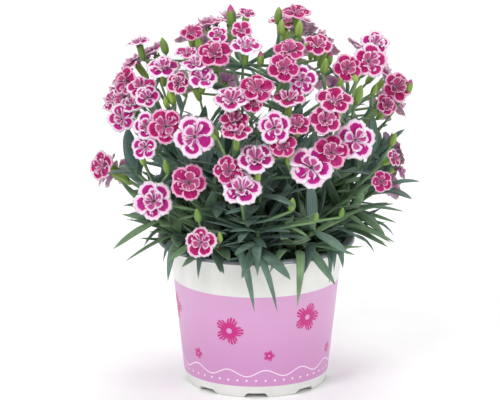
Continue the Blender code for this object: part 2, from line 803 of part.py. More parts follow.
# A stalk to a calyx or bud that ends at `top`. It branches off a stalk near by, or rises from a
# crown, and is bent until it is clear.
def route_stalk(top, direction, length, head_radii, size):
    near = joints_near(top)
    order = crown_order(flat(top).normalized() * min(flat(top).length * 0.55, OUTER_RING))[:6]
    for attempt in range(STALK_TRIES):
        loose = max(0, attempt - 80) / STALK_TRIES
        along = (direction + sway(1.8 * loose, 1)).normalized()
        long = length * (1 - 0.75 * loose)
        end = top - along * long
        head = [end + along * long * 0.35, top]
        tip_radii = [r * size for r in head_radii]
        branching = near and attempt % 2 == 0
        if branching:
            number, root, axis = near[attempt // 2 % len(near)]
            far = (end - root).length
            first = root + axis * 0.35 * far + sway(0.04 * attempt)
            second = end - along * min(12, 0.35 * far) + sway(0.04 * attempt)
            shares = BRANCH_SHARES
            radii = [0.5, STALK_RADIUS * 0.9, STALK_RADIUS * 0.9] + tip_radii
        else:
            number = order[attempt % 6]
            slot = slot_for(number, top)
            if slot is None:
                continue
            root = CROWNS[number] + slot
            rise = end.z - root.z
            first = root + Vector((0, 0, 0.5 * rise)) + sway(0.06 * attempt)
            below = along * min(16, 0.3 * rise) + Vector((0, 0, 0.14 * rise))
            second = end - below + sway(0.06 * attempt)
            shares = STALK_SHARES
            radii = [STALK_FOOT, STALK_RADIUS, STALK_RADIUS, STALK_RADIUS] + tip_radii
        route = (root, first, second, end)
        if try_stalk(number, route, shares, head, radii, attempt < STALK_TRIES * 0.6):
            if not branching:
                free_slots[number].remove(slot)
            return True
    return False


def place_stalks():
    missed = 0
    for item in sorted(placed, key=lambda p: -p.centre.z):
        top = foot_of(item.centre, item.direction, item.wide)
        length = min(CALYX_LENGTH, item.wide * 0.6)
        missed += not route_stalk(top, item.direction, length, (1.0, 0.85), CALYX_RADIUS)
    print("stalks missed", missed)


def place_buds():
    missed = 0
    for bud in BUDS:
        spot = on_head(bud.across, bud.up, 0.96) + Vector((0, 0, bud.long / 2))
        outward = (flat(spot) * 0.3 + Vector((0, 0, 70))).normalized()
        tops = [spot] + [spot + sway(4 + k, 1) for k in range(4)]
        missed += not any(route_stalk(top, outward, bud.long, (0.21, 0), bud.long) for top in tops)
    print("buds missed", missed)


# Leaves keep clear of everything but the stem that they grow from
def try_leaf(owner, root, middle, tip, wide, stations):
    if space.meets(leaf(root, middle, tip, wide, stations, GAP), skip=owner):
        return False
    free = ((ROOT_SHARE, 0.5),) + stations[1:]
    if space.meets(leaf(root, middle, tip, wide, free, 0.1)):
        return False
    keep(owner, leaf(root, middle, tip, wide, stations))
    return True


def place_rim_blade(blade):
    tip = seen_at(blade.across, blade.up, -blade.reach)
    goal = Vector((blade.root, -math.sqrt(max(OUTER_RING ** 2 - blade.root ** 2, 0)), 0))
    order = crown_order(goal)[:3]
    for attempt in range(RIM_BLADE_TRIES):
        number = order[attempt % len(order)]
        slot = slot_for(number, tip)
        if slot is None:
            continue
        root = CROWNS[number] + slot
        outward = flat(tip).normalized() * (8 + attempt * 0.15)
        middle = (root + tip) / 2 + outward + sway(4, 0) + Vector((0, 0, 26 + attempt * 0.4))
        if try_leaf(crown_name(number), root, middle, tip, blade.wide, BLADE_STATIONS):
            free_slots[number].remove(slot)
            return True
    return False


# A leafy shoot with opposite pairs of leaves, each pair a quarter turn on from the last
def place_shoot(number, goal, pairs):
    out = flat(goal).normalized()
    for attempt in range(SHOOT_TRIES):
        tip = goal + sway(0.2 * attempt, 1)
        slot = slot_for(number, tip)
        if slot is None:
            return 0
        root = CROWNS[number] + slot
        above = root + Vector((0, 0, 0.5 * (tip.z - root.z)))
        route = (root, above, tip - out * 8 - Vector((0, 0, 12)), tip)
        if try_stalk(number, route, STALK_SHARES, [], [SHOOT_RADIUS] * 3 + [SHOOT_RADIUS * 0.7]):
            free_slots[number].remove(slot)
            shoot_ends[crown_name(number)] = on_runs(route, STALK_SHARES, SHOOT_END)
            return sum(place_pair(number, route, pair, pairs) for pair in range(pairs))
    return 0


def place_pair(number, route, pair, pairs):
    share = 0.2 + 0.76 * pair / (pairs - 1)
    node, axis = on_stalk(route, STALK_SHARES, share)
    turn = Matrix.Rotation(pair * math.radians(90) + rng.uniform(-0.4, 0.4), 3, axis)
    side = turn @ axis.orthogonal().normalized()
    return sum(place_shoot_leaf(crown_name(number), node, axis, out, share) for out in (side, -side))


def place_shoot_leaf(owner, node, axis, side, share):
    for attempt in range(LEAF_TRIES):
        length = LEAF_LENGTH * rng.uniform(0.8, 1.1) * (1.05 - 0.3 * share)
        length *= 1 - 0.4 * attempt / LEAF_TRIES
        spread = rng.uniform(0.75, 1.25) - 0.25 * share
        out = Matrix.Rotation(rng.uniform(-1, 1) * 1.2 * attempt / LEAF_TRIES, 3, axis) @ side
        heading = (axis + out * spread).normalized()
        tip = node + heading * length + out * 5 - Vector((0, 0, rng.uniform(2, 12)))
        wide = LEAF_WIDE * rng.uniform(0.8, 1.15)
        middle = node + heading * length * 0.5
        if flat(tip).length > LEAF_REACH:
            continue
        if try_leaf(owner, node + out * 0.3, middle, tip, wide, LEAF_STATIONS):
            return 1
    return 0


def place_side_shoot(side):
    goal = seen_at(side.across, side.up, side.depth)
    number = crown_order(flat(goal))[0]
    made = place_shoot(number, goal, 3)
    if made:
        owner = crown_name(number)
        root = shoot_ends[owner]
        for attempt in range(40):
            shake = Vector((0, rng.uniform(-1, 1), rng.uniform(-1, 1))) * attempt
            tip = Vector((side.reach, root.y, root.z + 4)) + shake
            middle = (root + tip) / 2 + Vector((0, 0, 6))
            if try_leaf(owner, root, middle, tip, LEAF_WIDE, LEAF_STATIONS):
                return made + 1
    return made


def place_shoots():
    made = sum(place_side_shoot(side) for side in SIDE_SHOOTS)
    for number, crown in enumerate(CROWNS):
        out = flat(crown).normalized()
        side = Vector((-out.y, out.x, 0))
        if number < INNER_CROWNS:
            made += place_shoot(number, crown + out * 14 + Vector((0, 0, 62)), 5)
        else:
            made += place_shoot(number, crown + out * 27 + Vector((0, 0, 30)), 4)
            made += place_shoot(number, crown + out * 16 + side * 9 + Vector((0, 0, 58)), 4)
    print("leaves on shoots", made)


# A node's shapes are joined by one Boolean union on a collection
def join(owner, material):
    shapes = nodes[owner]
    item = make_object(owner, shapes[0], PARTS, material)
    if len(shapes) > 1:
        tools = make_collection(f"{owner}_shapes")
        for number, shape in enumerate(shapes[1:]):
            make_object(f"{owner}_shape_{number}", shape, tools, material)
        union = item.modifiers.new("union", "BOOLEAN")
        union.operation = "UNION"
        union.operand_type = "COLLECTION"
        union.collection = tools
        union.solver = "MANIFOLD"
        apply_modifiers(item)
        for tool in list(tools.objects):
            bpy.data.objects.remove(tool, do_unlink=True)
        bpy.data.collections.remove(tools)
    return item


# Fills a hollow that the union sealed and drops loose scraps, so that one body is left
def keep_outer_body(item):
    bm = bmesh.new()
    bm.from_mesh(item.data)
    bmesh.ops.triangulate(bm, faces=bm.faces)
    bm.faces.ensure_lookup_table()
    bodies = []
    left = set(bm.faces)
    while left:
        body = []
        queue = [left.pop()]
        while queue:
            face = queue.pop()
            body.append(face)
            for edge in face.edges:
                for other in edge.link_faces:
                    if other in left:
                        left.remove(other)
                        queue.append(other)
        bodies.append(body)
    bodies.sort(key=lambda body: -len(body))
    loose = [face for body in bodies[1:] for face in body]
    if loose:
        bmesh.ops.delete(bm, geom=loose, context="FACES")
        print(item.name, "had", len(bodies) - 1, "loose bodies, the largest of", len(bodies[1]), "faces")
    bm.to_mesh(item.data)
    bm.free()


make_pot()
make_soil(CROWNS)
for piece in ("pot", "soil"):
    depsgraph = bpy.context.evaluated_depsgraph_get()
    solid = bpy.data.objects[piece].evaluated_get(depsgraph).data
    space.add(piece, ([v.co / MM for v in solid.vertices], [tuple(p.vertices) for p in solid.polygons]))
place_front_blooms()
place_back_blooms()
place_crowns()
place_stalks()
place_buds()
print("rim blades missed", sum(not place_rim_blade(blade) for blade in RIM_BLADES))
place_shoots()
for owner in nodes:
    item = join(owner, PETAL_MAGENTA if owner.startswith("blooms") else LEAF_GREEN)
    keep_outer_body(item)
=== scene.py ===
# A dianthus in its 13 cm pot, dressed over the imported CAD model.
# Lengths are in millimetres until a mesh is made.

import json
import math
import random
from collections import namedtuple

import bmesh
import bpy
from mathutils import Matrix, Vector
from mathutils.bvhtree import BVHTree
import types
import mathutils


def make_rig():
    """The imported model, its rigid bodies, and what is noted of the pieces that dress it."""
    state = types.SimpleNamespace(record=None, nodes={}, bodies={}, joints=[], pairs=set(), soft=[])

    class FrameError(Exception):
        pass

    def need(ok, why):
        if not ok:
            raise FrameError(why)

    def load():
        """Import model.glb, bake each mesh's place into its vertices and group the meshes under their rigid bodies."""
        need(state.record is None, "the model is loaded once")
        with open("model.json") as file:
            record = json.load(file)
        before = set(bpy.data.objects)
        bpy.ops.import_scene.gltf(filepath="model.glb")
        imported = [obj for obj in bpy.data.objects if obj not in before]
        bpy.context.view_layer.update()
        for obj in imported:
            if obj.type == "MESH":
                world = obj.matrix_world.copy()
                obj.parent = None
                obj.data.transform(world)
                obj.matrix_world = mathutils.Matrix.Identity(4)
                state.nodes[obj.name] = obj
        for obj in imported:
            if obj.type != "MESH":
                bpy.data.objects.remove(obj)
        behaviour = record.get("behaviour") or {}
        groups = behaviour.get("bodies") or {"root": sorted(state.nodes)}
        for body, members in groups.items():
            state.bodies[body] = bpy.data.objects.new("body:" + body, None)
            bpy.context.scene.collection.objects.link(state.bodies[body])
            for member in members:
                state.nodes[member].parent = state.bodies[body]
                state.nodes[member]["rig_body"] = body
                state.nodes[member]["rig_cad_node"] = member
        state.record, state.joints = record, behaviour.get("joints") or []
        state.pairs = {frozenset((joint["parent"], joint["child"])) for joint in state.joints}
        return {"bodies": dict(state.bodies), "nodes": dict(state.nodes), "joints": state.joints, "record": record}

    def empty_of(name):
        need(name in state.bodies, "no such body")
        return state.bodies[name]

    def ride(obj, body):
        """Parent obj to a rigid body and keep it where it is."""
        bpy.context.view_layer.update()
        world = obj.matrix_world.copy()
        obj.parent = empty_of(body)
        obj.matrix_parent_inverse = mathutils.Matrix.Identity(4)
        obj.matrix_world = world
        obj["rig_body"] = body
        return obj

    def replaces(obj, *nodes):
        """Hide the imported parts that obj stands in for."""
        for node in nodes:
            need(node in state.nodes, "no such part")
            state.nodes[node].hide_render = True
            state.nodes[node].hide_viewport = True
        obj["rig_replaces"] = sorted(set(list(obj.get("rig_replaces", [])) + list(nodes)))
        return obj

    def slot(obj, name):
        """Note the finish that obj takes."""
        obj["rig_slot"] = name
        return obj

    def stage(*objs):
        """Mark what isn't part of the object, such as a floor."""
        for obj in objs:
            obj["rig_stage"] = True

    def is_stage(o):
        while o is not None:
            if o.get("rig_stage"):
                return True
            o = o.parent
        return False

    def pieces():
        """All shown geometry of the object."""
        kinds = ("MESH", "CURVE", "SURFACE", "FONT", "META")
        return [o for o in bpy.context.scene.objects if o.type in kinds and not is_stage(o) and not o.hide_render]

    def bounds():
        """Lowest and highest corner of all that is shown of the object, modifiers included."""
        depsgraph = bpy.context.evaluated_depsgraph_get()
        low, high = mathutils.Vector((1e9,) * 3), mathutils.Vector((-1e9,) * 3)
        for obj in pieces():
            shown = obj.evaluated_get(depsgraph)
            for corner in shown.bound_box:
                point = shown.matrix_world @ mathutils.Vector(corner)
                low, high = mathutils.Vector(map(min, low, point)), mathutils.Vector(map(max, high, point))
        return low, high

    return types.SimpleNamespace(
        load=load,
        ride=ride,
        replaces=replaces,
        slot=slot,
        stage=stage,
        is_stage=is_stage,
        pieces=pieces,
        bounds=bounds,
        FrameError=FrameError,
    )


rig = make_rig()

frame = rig.load()
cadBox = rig.bounds()
mm = 0.001
rng = random.Random(12)
print("frame loaded,", len(frame["nodes"]), "nodes")

# The photograph shows 330 mm across at the pot's axis, from 16 degrees above the table
view = {
    "tilt": math.radians(16), "aim": (-4.0, 32.5, 113.2), "distance": 12000.0, "shows": 330.0, "sensor": 36.0,
}

# The growing pot and what stands in it. Radii, heights and depths are the ones of the CAD solids.
pot = {
    "rimRadius": 65.0, "height": 98.5, "rimDepth": 3.3, "collarTopRadius": 58.2, "bandTop": 71.4,
    "bandTopRadius": 54.5, "bandBottom": 8.3, "bandBottomRadius": 47.3, "footRadius": 43.6, "footWidth": 3.4,
    "wall": 1.3, "floorUnderside": 3.4, "feet": 8, "notchWidth": 13.0, "notchHeight": 3.4, "drainHoles": 5,
    "drainRadius": 3.5, "drainRing": 24.0, "drainSteps": 24, "steps": 128, "greyDepth": 2.0,
    "sharpFrom": 38.0,
}
soil = {"top": 88.0, "crown": 1.5, "crumbs": 2600, "crumbSize": 1.5, "seed": 4}
crown = {
    "radius": 5.4, "sunk": 6.0, "top": 4.0, "slots": 15, "spread": 1.08, "inner": 4, "innerRing": 14.0,
    "outer": 10, "outerRing": 38.0,
}
# The rounded form that the blooms lie on: how far it reaches from its middle each way
head = {
    "middle": 135.0, "above": 116.0, "below": 92.0, "wide": 98.0, "deep": 88.0, "deepBack": 100.0,
    "round": 2.4, "deepest": 1.1, "halvings": 30, "innermost": 40.0,
}
stem = {
    "radius": 0.95, "calyxLong": 12.0, "calyxRadius": 2.3, "freeShare": 0.14, "tries": 360, "strictTries": 80,
    "reach": 75.0, "choices": 8, "sidewaysCost": 2.5, "joints": (0.45, 0.6, 0.75),
    "shares": (0.0, 0.33, 0.67, 1.0), "branchShares": (0.0, 0.5, 1.0), "crownsTried": 6, "inwards": 0.55,
    "looseSway": 1.8, "looseShorter": 0.75, "neck": 0.35, "aloneUntil": 0.6, "jointBelow": 16,
    "jointNearest": 24, "calyxKept": 7,
}
# How a stalk bends: how far it holds its first and last direction, how much each try moves it, and its radii
fromJoint = {"lead": 0.35, "last": 12, "lastShare": 0.35, "sway": 0.04, "radii": (0.5, 0.855, 0.855)}
fromCrown = {
    "lead": 0.5, "last": 16, "lastShare": 0.3, "sag": 0.14, "sway": 0.06, "radii": (1.15, 0.95, 0.95, 0.95),
}
# Groups of blooms at the back, in tiers: how high round the head, how many, and how far they are sunk into it
back = {
    "group": 4, "tiers": ((-0.05, 4, 0.0), (0.38, 4, 0.0), (0.80, 4, 0.0), (1.2, 2, 11.0)), "wide": 22.0,
    "uneven": 0.15, "spread": 0.3, "riseSpread": 0.18, "apart": 15, "tries": 80, "hiddenWithin": 10.0,
    "flatter": 0.8, "lift": 38, "push": (0, -0.9, 0.2),
}
foliage = {
    "keel": 0.9, "shootRadius": 1.5, "long": 46.0, "wide": 7.4, "tries": 24, "reach": 105.0,
    "rootShare": 0.15, "shootEnd": 0.97, "stations": ((0.0, 0.0), (0.42, 1.0)),
    "bladeStations": ((0.0, 0.0), (0.3, 1.0), (0.68, 0.85)), "faceUp": 0.35, "shootTries": 60,
    "shootSway": 0.2, "firstPair": 0.2, "pairsAlong": 0.76, "pairTurn": 0.4, "shorter": 0.4, "swing": 1.2,
    "lift": 5,
}
# How a leaf over the rim is tried: tries, clumps, how far out it arches and how high, and what each try adds
arch = {"tries": 240, "clumps": 3, "out": 8, "outMore": 0.15, "up": 26, "upMore": 0.4, "sway": 4}
gap = 0.35  # what stays free between two clumps
bloomFoot = 0.22  # how deep a bloom's foot is, as a share of its radius
plainBelow = 21.5  # narrower blooms have a plainer solid
petals = 5
groupSteps = 60  # how far a group of blooms may move back until it has room

# Blooms as seen from the front: how far across and up their middle is, how wide they are, how far they tip,
# the side that they tip to (270 is the front), and how pale their edge is
Bloom = namedtuple("Bloom", "across up wide lean turn pale")
frontBlooms = [
    [Bloom(-101, 140, 21, 72, 225, 0.4)],
    [Bloom(-88, 171, 20, 66, 258, 0.8), Bloom(-82, 185, 17, 35, 250, 0.8), Bloom(-92, 186, 16, 40, 220, 0.2),
     Bloom(-101, 181, 16, 72, 205, 0.6)],
    [Bloom(-71, 185, 18, 45, 255, 0.8), Bloom(-75, 191, 21, 30, 250, 0.5), Bloom(-88, 199, 20, 70, 220, 0.1)],
    [Bloom(-77, 221, 17, 15, 180, 0.8)],
    [Bloom(-61, 204, 24, 25, 262, 0.8), Bloom(-50, 194, 17, 50, 262, 0.5)],
    [Bloom(-42, 227, 16, 28, 270, 0.1)],
    [Bloom(-35, 197, 21, 33, 275, 0.9), Bloom(-40, 206, 20, 14, 265, 1.0), Bloom(-46, 215, 17, 14, 250, 0.6)],
    [Bloom(-59, 166, 25, 66, 265, 0.2), Bloom(-71, 165, 20, 60, 258, 0.8), Bloom(-72, 144, 18, 70, 250, 0.9)],
    [Bloom(-40, 159, 29, 68, 268, 0.9)],
    [Bloom(-67, 117, 27, 72, 258, 0.9)],
    [Bloom(-44, 129, 25, 72, 268, 0.1)],
    [Bloom(-36, 90, 22, 70, 262, 0.5)],
    [Bloom(-6, 240, 12, 20, 300, 0.6)],
    [Bloom(-27, 213, 24, 36, 265, 0.1), Bloom(-24, 228, 14, 40, 265, 0.7)],
    [Bloom(-7, 218, 22, 14, 275, 0.8), Bloom(-10, 230, 15, 45, 270, 0.5)],
    [Bloom(-16, 183, 26, 24, 268, 0.7), Bloom(2, 192, 24, 37, 270, 0.15), Bloom(-2, 180, 14, 40, 270, 0.1)],
    [Bloom(18, 204, 22, 46, 272, 0.1), Bloom(22, 215, 22, 29, 272, 0.1)],
    [Bloom(26, 240, 21, 8, 280, 0.2)],
    [Bloom(40, 219, 20, 32, 275, 0.3)],
    [Bloom(-14, 169, 21, 28, 270, 0.1), Bloom(-13, 155, 22, 19, 270, 0.3)],
    [Bloom(0, 144, 26, 39, 270, 0.8), Bloom(-22, 132, 22, 49, 265, 0.2), Bloom(-10, 117, 27, 40, 270, 0.9)],
    [Bloom(12, 165, 24, 68, 270, 0.9), Bloom(27, 167, 18, 40, 272, 0.1), Bloom(18, 151, 19, 44, 270, 0.0)],
    [Bloom(30, 196, 21, 70, 275, 0.8), Bloom(21, 182, 24, 16, 270, 0.4)],
    [Bloom(51, 182, 25, 29, 277, 0.4), Bloom(44, 167, 22, 50, 275, 0.3)],
    [Bloom(36, 139, 31, 56, 272, 1.0), Bloom(49, 149, 24, 55, 275, 0.2)],
    [Bloom(65, 157, 28, 68, 285, 0.9)],
    [Bloom(60, 204, 20, 55, 275, 0.1), Bloom(73, 206, 24, 60, 290, 0.5), Bloom(77, 216, 20, 40, 285, 0.8)],
    [Bloom(92, 192, 22, 62, 305, 0.2), Bloom(87, 176, 16, 60, 300, 0.2)],
    [Bloom(90, 145, 13, 60, 330, 0.5)],
    [Bloom(82, 130, 15, 75, 290, 0.1)],
]

# Closed buds in the same view, with their length, and how pink their tip already is
Bud = namedtuple("Bud", "across up long pink", defaults=(0.0,))
buds = [
    Bud(-62, 219, 12), Bud(-57, 185, 13), Bud(-60, 181, 9), Bud(-76, 144, 10), Bud(-60, 139, 11),
    Bud(-11, 227, 12), Bud(3, 210, 11, 0.9), Bud(15, 239, 12), Bud(17, 231, 11), Bud(29, 230, 12),
    Bud(34, 214, 13), Bud(49, 210, 11, 0.9), Bud(46, 205, 12), Bud(61, 194, 11), Bud(56, 193, 10),
    Bud(69, 186, 15), Bud(102, 192, 11, 0.9), Bud(79, 190, 9), Bud(56, 175, 11, 0.8), Bud(-32, 156, 11),
    Bud(-27, 161, 10), Bud(-7, 131, 11), Bud(1, 133, 10), Bud(22, 144, 11), Bud(-39, 107, 11),
    Bud(24, 114, 11), Bud(40, 106, 8), Bud(57, 109, 8), Bud(92, 157, 10), Bud(-24, 93, 8),
    Bud(-17, 239, 15, 1.0),
]

# Leaves over the rim: tip in the same view, how far in front of the axis it is, where its clump is, its width
Blade = namedtuple("Blade", "across up reach root wide")
rimBlades = [
    Blade(14, 44, 70, -24, 5.6), Blade(-1, 44, 70, -9, 5.4), Blade(27, 48, 67, 17, 4.8),
    Blade(-58, 64, 42, -22, 6.0), Blade(30, 67, 64, 28, 6.0), Blade(48, 63, 52, 32, 3.4),
    Blade(51, 71, 50, 38, 3.6), Blade(57, 73, 44, 40, 5.0), Blade(9, 70, 68, 18, 5.0),
    Blade(1, 68, 68, 8, 6.0), Blade(-61, 77, 33, -38, 3.6), Blade(-38, 66, 58, -24, 4.4),
    Blade(-74, 87, 20, -38, 4.2), Blade(-76, 96, 8, -38, 4.2), Blade(85, 91, 14, 40, 4.4),
    Blade(78, 83, 30, 40, 4.2), Blade(91, 94, 8, 40, 4.4), Blade(83, 97, 0, 40, 4.0),
]

# Leafy shoots at the sides: tip in the same view, how far behind the axis, and how far out its last leaf goes
SideShoot = namedtuple("SideShoot", "across up depth reach")
sideShoots = [
    SideShoot(84, 127, 2, 108), SideShoot(78, 146, 8, 98),
    SideShoot(-76, 143, -4, -90), SideShoot(-66, 104, -20, -84),
]


# How the plant is laid out: the same rules, in the same order, as its CAD solids
def loft(sections):
    points = [p for section in sections for p in section]
    faces = []
    if len(sections[0]) > 1:
        faces.append(tuple(reversed(range(len(sections[0])))))
    start = 0
    for section, following in zip(sections, sections[1:]):
        ahead = start + len(section)
        sides = max(len(section), len(following))
        for i in range(sides):
            j = (i + 1) % sides
            if len(following) == 1:
                faces.append((start + i, start + j, ahead))
            elif len(section) == 1:
                faces.append((start, ahead + j, ahead + i))
            else:
                faces.append((start + i, start + j, ahead + j))
                faces.append((start + i, ahead + j, ahead + i))
        start = ahead
    if len(sections[-1]) > 1:
        faces.append(tuple(range(start, start + len(sections[-1]))))
    return points, faces


def stalk(path, radii, sides):
    side = None
    sections = []
    for i, (point, radius) in enumerate(zip(path, radii)):
        ahead = (path[min(i + 1, len(path) - 1)] - path[max(i - 1, 0)]).normalized()
        start = side or ahead.orthogonal()
        side = (start - ahead * start.dot(ahead)).normalized()
        other = ahead.cross(side)
        if radius == 0:
            sections.append([point])
            continue
        turns = [math.tau * k / sides for k in range(sides)]
        sections.append([point + side * math.cos(t) * radius + other * math.sin(t) * radius for t in turns])
    return loft(sections)


def leaf(root, middle, tip, wide, stations, grown=0.0):
    across = (tip - root).cross(Vector((0, 0, 1)))
    if across.length < 4:
        across = Vector((0.1 - root.y, root.x, 0))
    across.normalize()
    sections = [] if stations[0][0] else [[root]]
    for share, width in stations:
        if width == 0:
            continue
        point = root * (1 - share) ** 2 + middle * 2 * share * (1 - share) + tip * share ** 2
        ahead = ((middle - root) * (1 - share) + (tip - middle) * share).normalized()
        face = across.cross(ahead).normalized()
        if face.z < 0:
            face = -face
        half = across * (width * wide / 2 + grown)
        thick = min(1.0, width + 0.15)
        up = face * (foliage["faceUp"] * thick + grown)
        section = [point + half + up, point - half + up, point - face * (foliage["keel"] * thick + grown)]
        if across.cross(face).dot(ahead) < 0:
            section.reverse()
        sections.append(section)
    sections.append([tip])
    return loft(sections)


fullRings = (
    (1, ((0.30, 0.12), (0.56, 0.26), (0.52, 0.18))), (1, ((0.22, 0.02), (0.32, 0.02), (0.32, 0.02))),
    (0, ((0.66, -0.03), (1.00, 0.11), (0.97, 0.0))),
)
plainRings = (
    (1, ((0.34, 0.12), (0.56, 0.24))), (1, ((0.25, 0.02), (0.34, 0.02))), (0, ((0.74, -0.04), (1.02, 0.09))),
)


def bloomSolid(wide, rings, grown=0.0):
    radius = wide / 2 + grown
    count = petals * len(rings[0][1])
    rows = [[Vector((0, 0, 0.10 * radius + grown))]]
    for shift, ring in rings:
        row = []
        for i in range(count):
            reach, height = ring[(i + shift) % len(ring)]
            turn = math.tau * i / count
            row.append(Vector((reach * math.cos(turn), reach * math.sin(turn), height)) * radius)
        rows.append(row)
    points = [p for row in rows for p in row] + [Vector((0, 0, -bloomFoot * radius - grown))]
    return points, bloomFaces(count)


def bloomFaces(count):
    faces = []
    foot = 1 + 3 * count
    for i in range(count):
        j = (i + 1) % count
        faces.append((0, 1 + i, 1 + j))
        for start in (1, 1 + count):
            faces.append((start + i, start + count + i, start + count + j))
            faces.append((start + i, start + count + j, start + j))
        last = 1 + 2 * count
        faces.append((last + i, foot, last + j))
    return faces


def facing(lean, turn):
    lean = math.radians(lean)
    turn = math.radians(turn)
    return Vector((math.sin(lean) * math.cos(turn), math.sin(lean) * math.sin(turn), math.cos(lean)))


def moved(shape, centre, direction, spin):
    turn = direction.to_track_quat("Z", "Y").to_matrix().to_4x4() @ Matrix.Rotation(spin, 4, "Z")
    place = Matrix.Translation(centre) @ turn
    return [place @ p for p in shape[0]], shape[1]


def cornersOf(shape):
    return [[pick(p[k] for p in shape[0]) for k in range(3)] for pick in (min, max)]


# What is already placed, by the node that it belongs to, with a box round it for a quick first test
class Space:
    def __init__(self):
        self.items = []

    def add(self, owner, shape):
        self.items.append((owner, *cornersOf(shape), BVHTree.FromPolygons(*shape)))

    def meets(self, shape, skip=None):
        low, high = cornersOf(shape)
        tree = None
        for owner, otherLow, otherHigh, other in self.items:
            if owner == skip:
                continue
            if any(low[k] > otherHigh[k] or high[k] < otherLow[k] for k in range(3)):
                continue
            tree = tree or BVHTree.FromPolygons(*shape)
            if tree.overlap(other):
                return True
        return False


space = Space()
Placed = namedtuple("Placed", "owner centre direction wide shape spin pale")
Stem = namedtuple("Stem", "owner path kind long along pink")
Leaf = namedtuple("Leaf", "owner root middle tip wide kind")
placed = []
stems = []
leaves = []
joints = []
shootEnds = {}


# How far out a point is in the rounded form, which ends at 1
def headShare(point):
    tall = head["above"] if point.z > head["middle"] else head["below"]
    deep = head["deep"] if point.y < 0 else head["deepBack"]
    sizes = (head["wide"], deep, tall)
    offsets = (point.x, point.y, point.z - head["middle"])
    return sum(abs(offset / size) ** head["round"] for offset, size in zip(offsets, sizes))


# The point behind a spot of the front view, at a depth
def seenAt(across, up, depth):
    return Vector((across, depth, (up - depth * math.sin(view["tilt"])) / math.cos(view["tilt"])))


# The point where the sight line through a spot of the front view meets the form
def onHead(across, up, size=1.0):
    near, far = -head["deep"] * head["deepest"], 0.0
    limit = size ** head["round"]
    if headShare(seenAt(across, up, far)) > limit:
        return seenAt(across, up, far)
    for _ in range(head["halvings"]):
        depth = (near + far) / 2
        if headShare(seenAt(across, up, depth)) > limit:
            near = depth
        else:
            far = depth
    return seenAt(across, up, far)


def shifted(shape, step):
    return [p + step for p in shape[0]], shape[1]


def crosses(shape, other):
    return bool(BVHTree.FromPolygons(*shape).overlap(BVHTree.FromPolygons(*other)))


# Where a bloom's calyx starts, just under its foot
def footOf(centre, direction, wide):
    return centre - direction * (bloomFoot * wide / 2 + gap)


# The part of a calyx that the other blooms of its group leave free
def calyxRoom(centre, direction, wide):
    top = footOf(centre, direction, wide)
    path = [top - direction * stem["calyxKept"], top]
    return stalk(path, [stem["radius"], stem["calyxRadius"] + gap], 4)


def calyxesClear(shape, centre, direction, wide, mates):
    room = calyxRoom(centre, direction, wide)
    for mate in mates:
        if crosses(room, mate.shape) or crosses(shape, calyxRoom(mate.centre, mate.direction, mate.wide)):
            return False
    return True


def placesBeside(centre, direction, wide, mate):
    offset = centre - mate.centre
    along = offset.dot(direction)
    side = offset - direction * along
    side = side.normalized() if side.length > 1 else direction.orthogonal().normalized()
    reach = (wide + mate.wide) / 2
    spots = [mate.centre + side * reach * (0.4 + 0.04 * i) + direction * along * (1 - 0.2 * k)
             for i in range(15) for k in range(6)]
    return sorted([centre] + spots, key=lambda spot: (spot - centre).length)


# A group's blooms touch, and neither covers the other's calyx
def settle(owner, centre, direction, wide, pale, mates):
    spin = rng.uniform(0, math.tau)
    rings = plainRings if owner.startswith("blooms_back") or wide < plainBelow else fullRings
    shape = moved(bloomSolid(wide, rings), centre, direction, spin)
    tested = moved(bloomSolid(wide, rings, gap), centre, direction, spin)
    if not mates:
        return Placed(owner, centre, direction, wide, shape, spin, pale), tested
    mate = min(mates, key=lambda m: (m.centre - centre).length)
    touching = None
    for spot in placesBeside(centre, direction, wide, mate):
        trial = shifted(shape, spot - centre)
        if any(crosses(trial, mate.shape) for mate in mates):
            touching = touching or spot
            if calyxesClear(trial, spot, direction, wide, mates):
                touching = spot
                break
    if touching is None:
        return None, None
    move = touching - centre
    return Placed(owner, touching, direction, wide, shifted(shape, move), spin, pale), shifted(tested, move)


def placeGroup(owner, wanted, push):
    state = rng.getstate()
    for shift in range(groupSteps):
        rng.setstate(state)
        count = len(space.items)
        mates = []
        for centre, direction, wide, pale in wanted:
            mate, tested = settle(owner, centre + push * shift, direction, wide, pale, mates)
            if mate is None or space.meets(tested, skip=owner):
                break
            space.add(owner, mate.shape)
            mates.append(mate)
        if len(mates) == len(wanted):
            placed.extend(mates)
            return
        del space.items[count:]
    print("no room for", owner)


def placeFrontBlooms():
    away = Vector((0, math.cos(view["tilt"]), -math.sin(view["tilt"])))
    for number, group in enumerate(frontBlooms, 1):
        wanted = [(onHead(b.across, b.up), facing(b.lean, b.turn), b.wide, b.pale) for b in group]
        placeGroup(f"blooms_front_{number:02d}", wanted, away)


def behindFront(point):
    up = point.z * math.cos(view["tilt"]) + point.y * math.sin(view["tilt"])
    blooms = [b for group in frontBlooms for b in group]
    return any((b.across - point.x) ** 2 + (b.up - up) ** 2 < back["hiddenWithin"] ** 2 for b in blooms)


def backPoint(turn, rise):
    direction = Vector((math.cos(turn) * math.cos(rise), math.sin(turn) * math.cos(rise), math.sin(rise)))
    reach = head["innermost"]
    while headShare(Vector((0, 0, head["middle"])) + direction * reach) < 1:
        reach += 1.0
    return Vector((0, 0, head["middle"])) + direction * reach


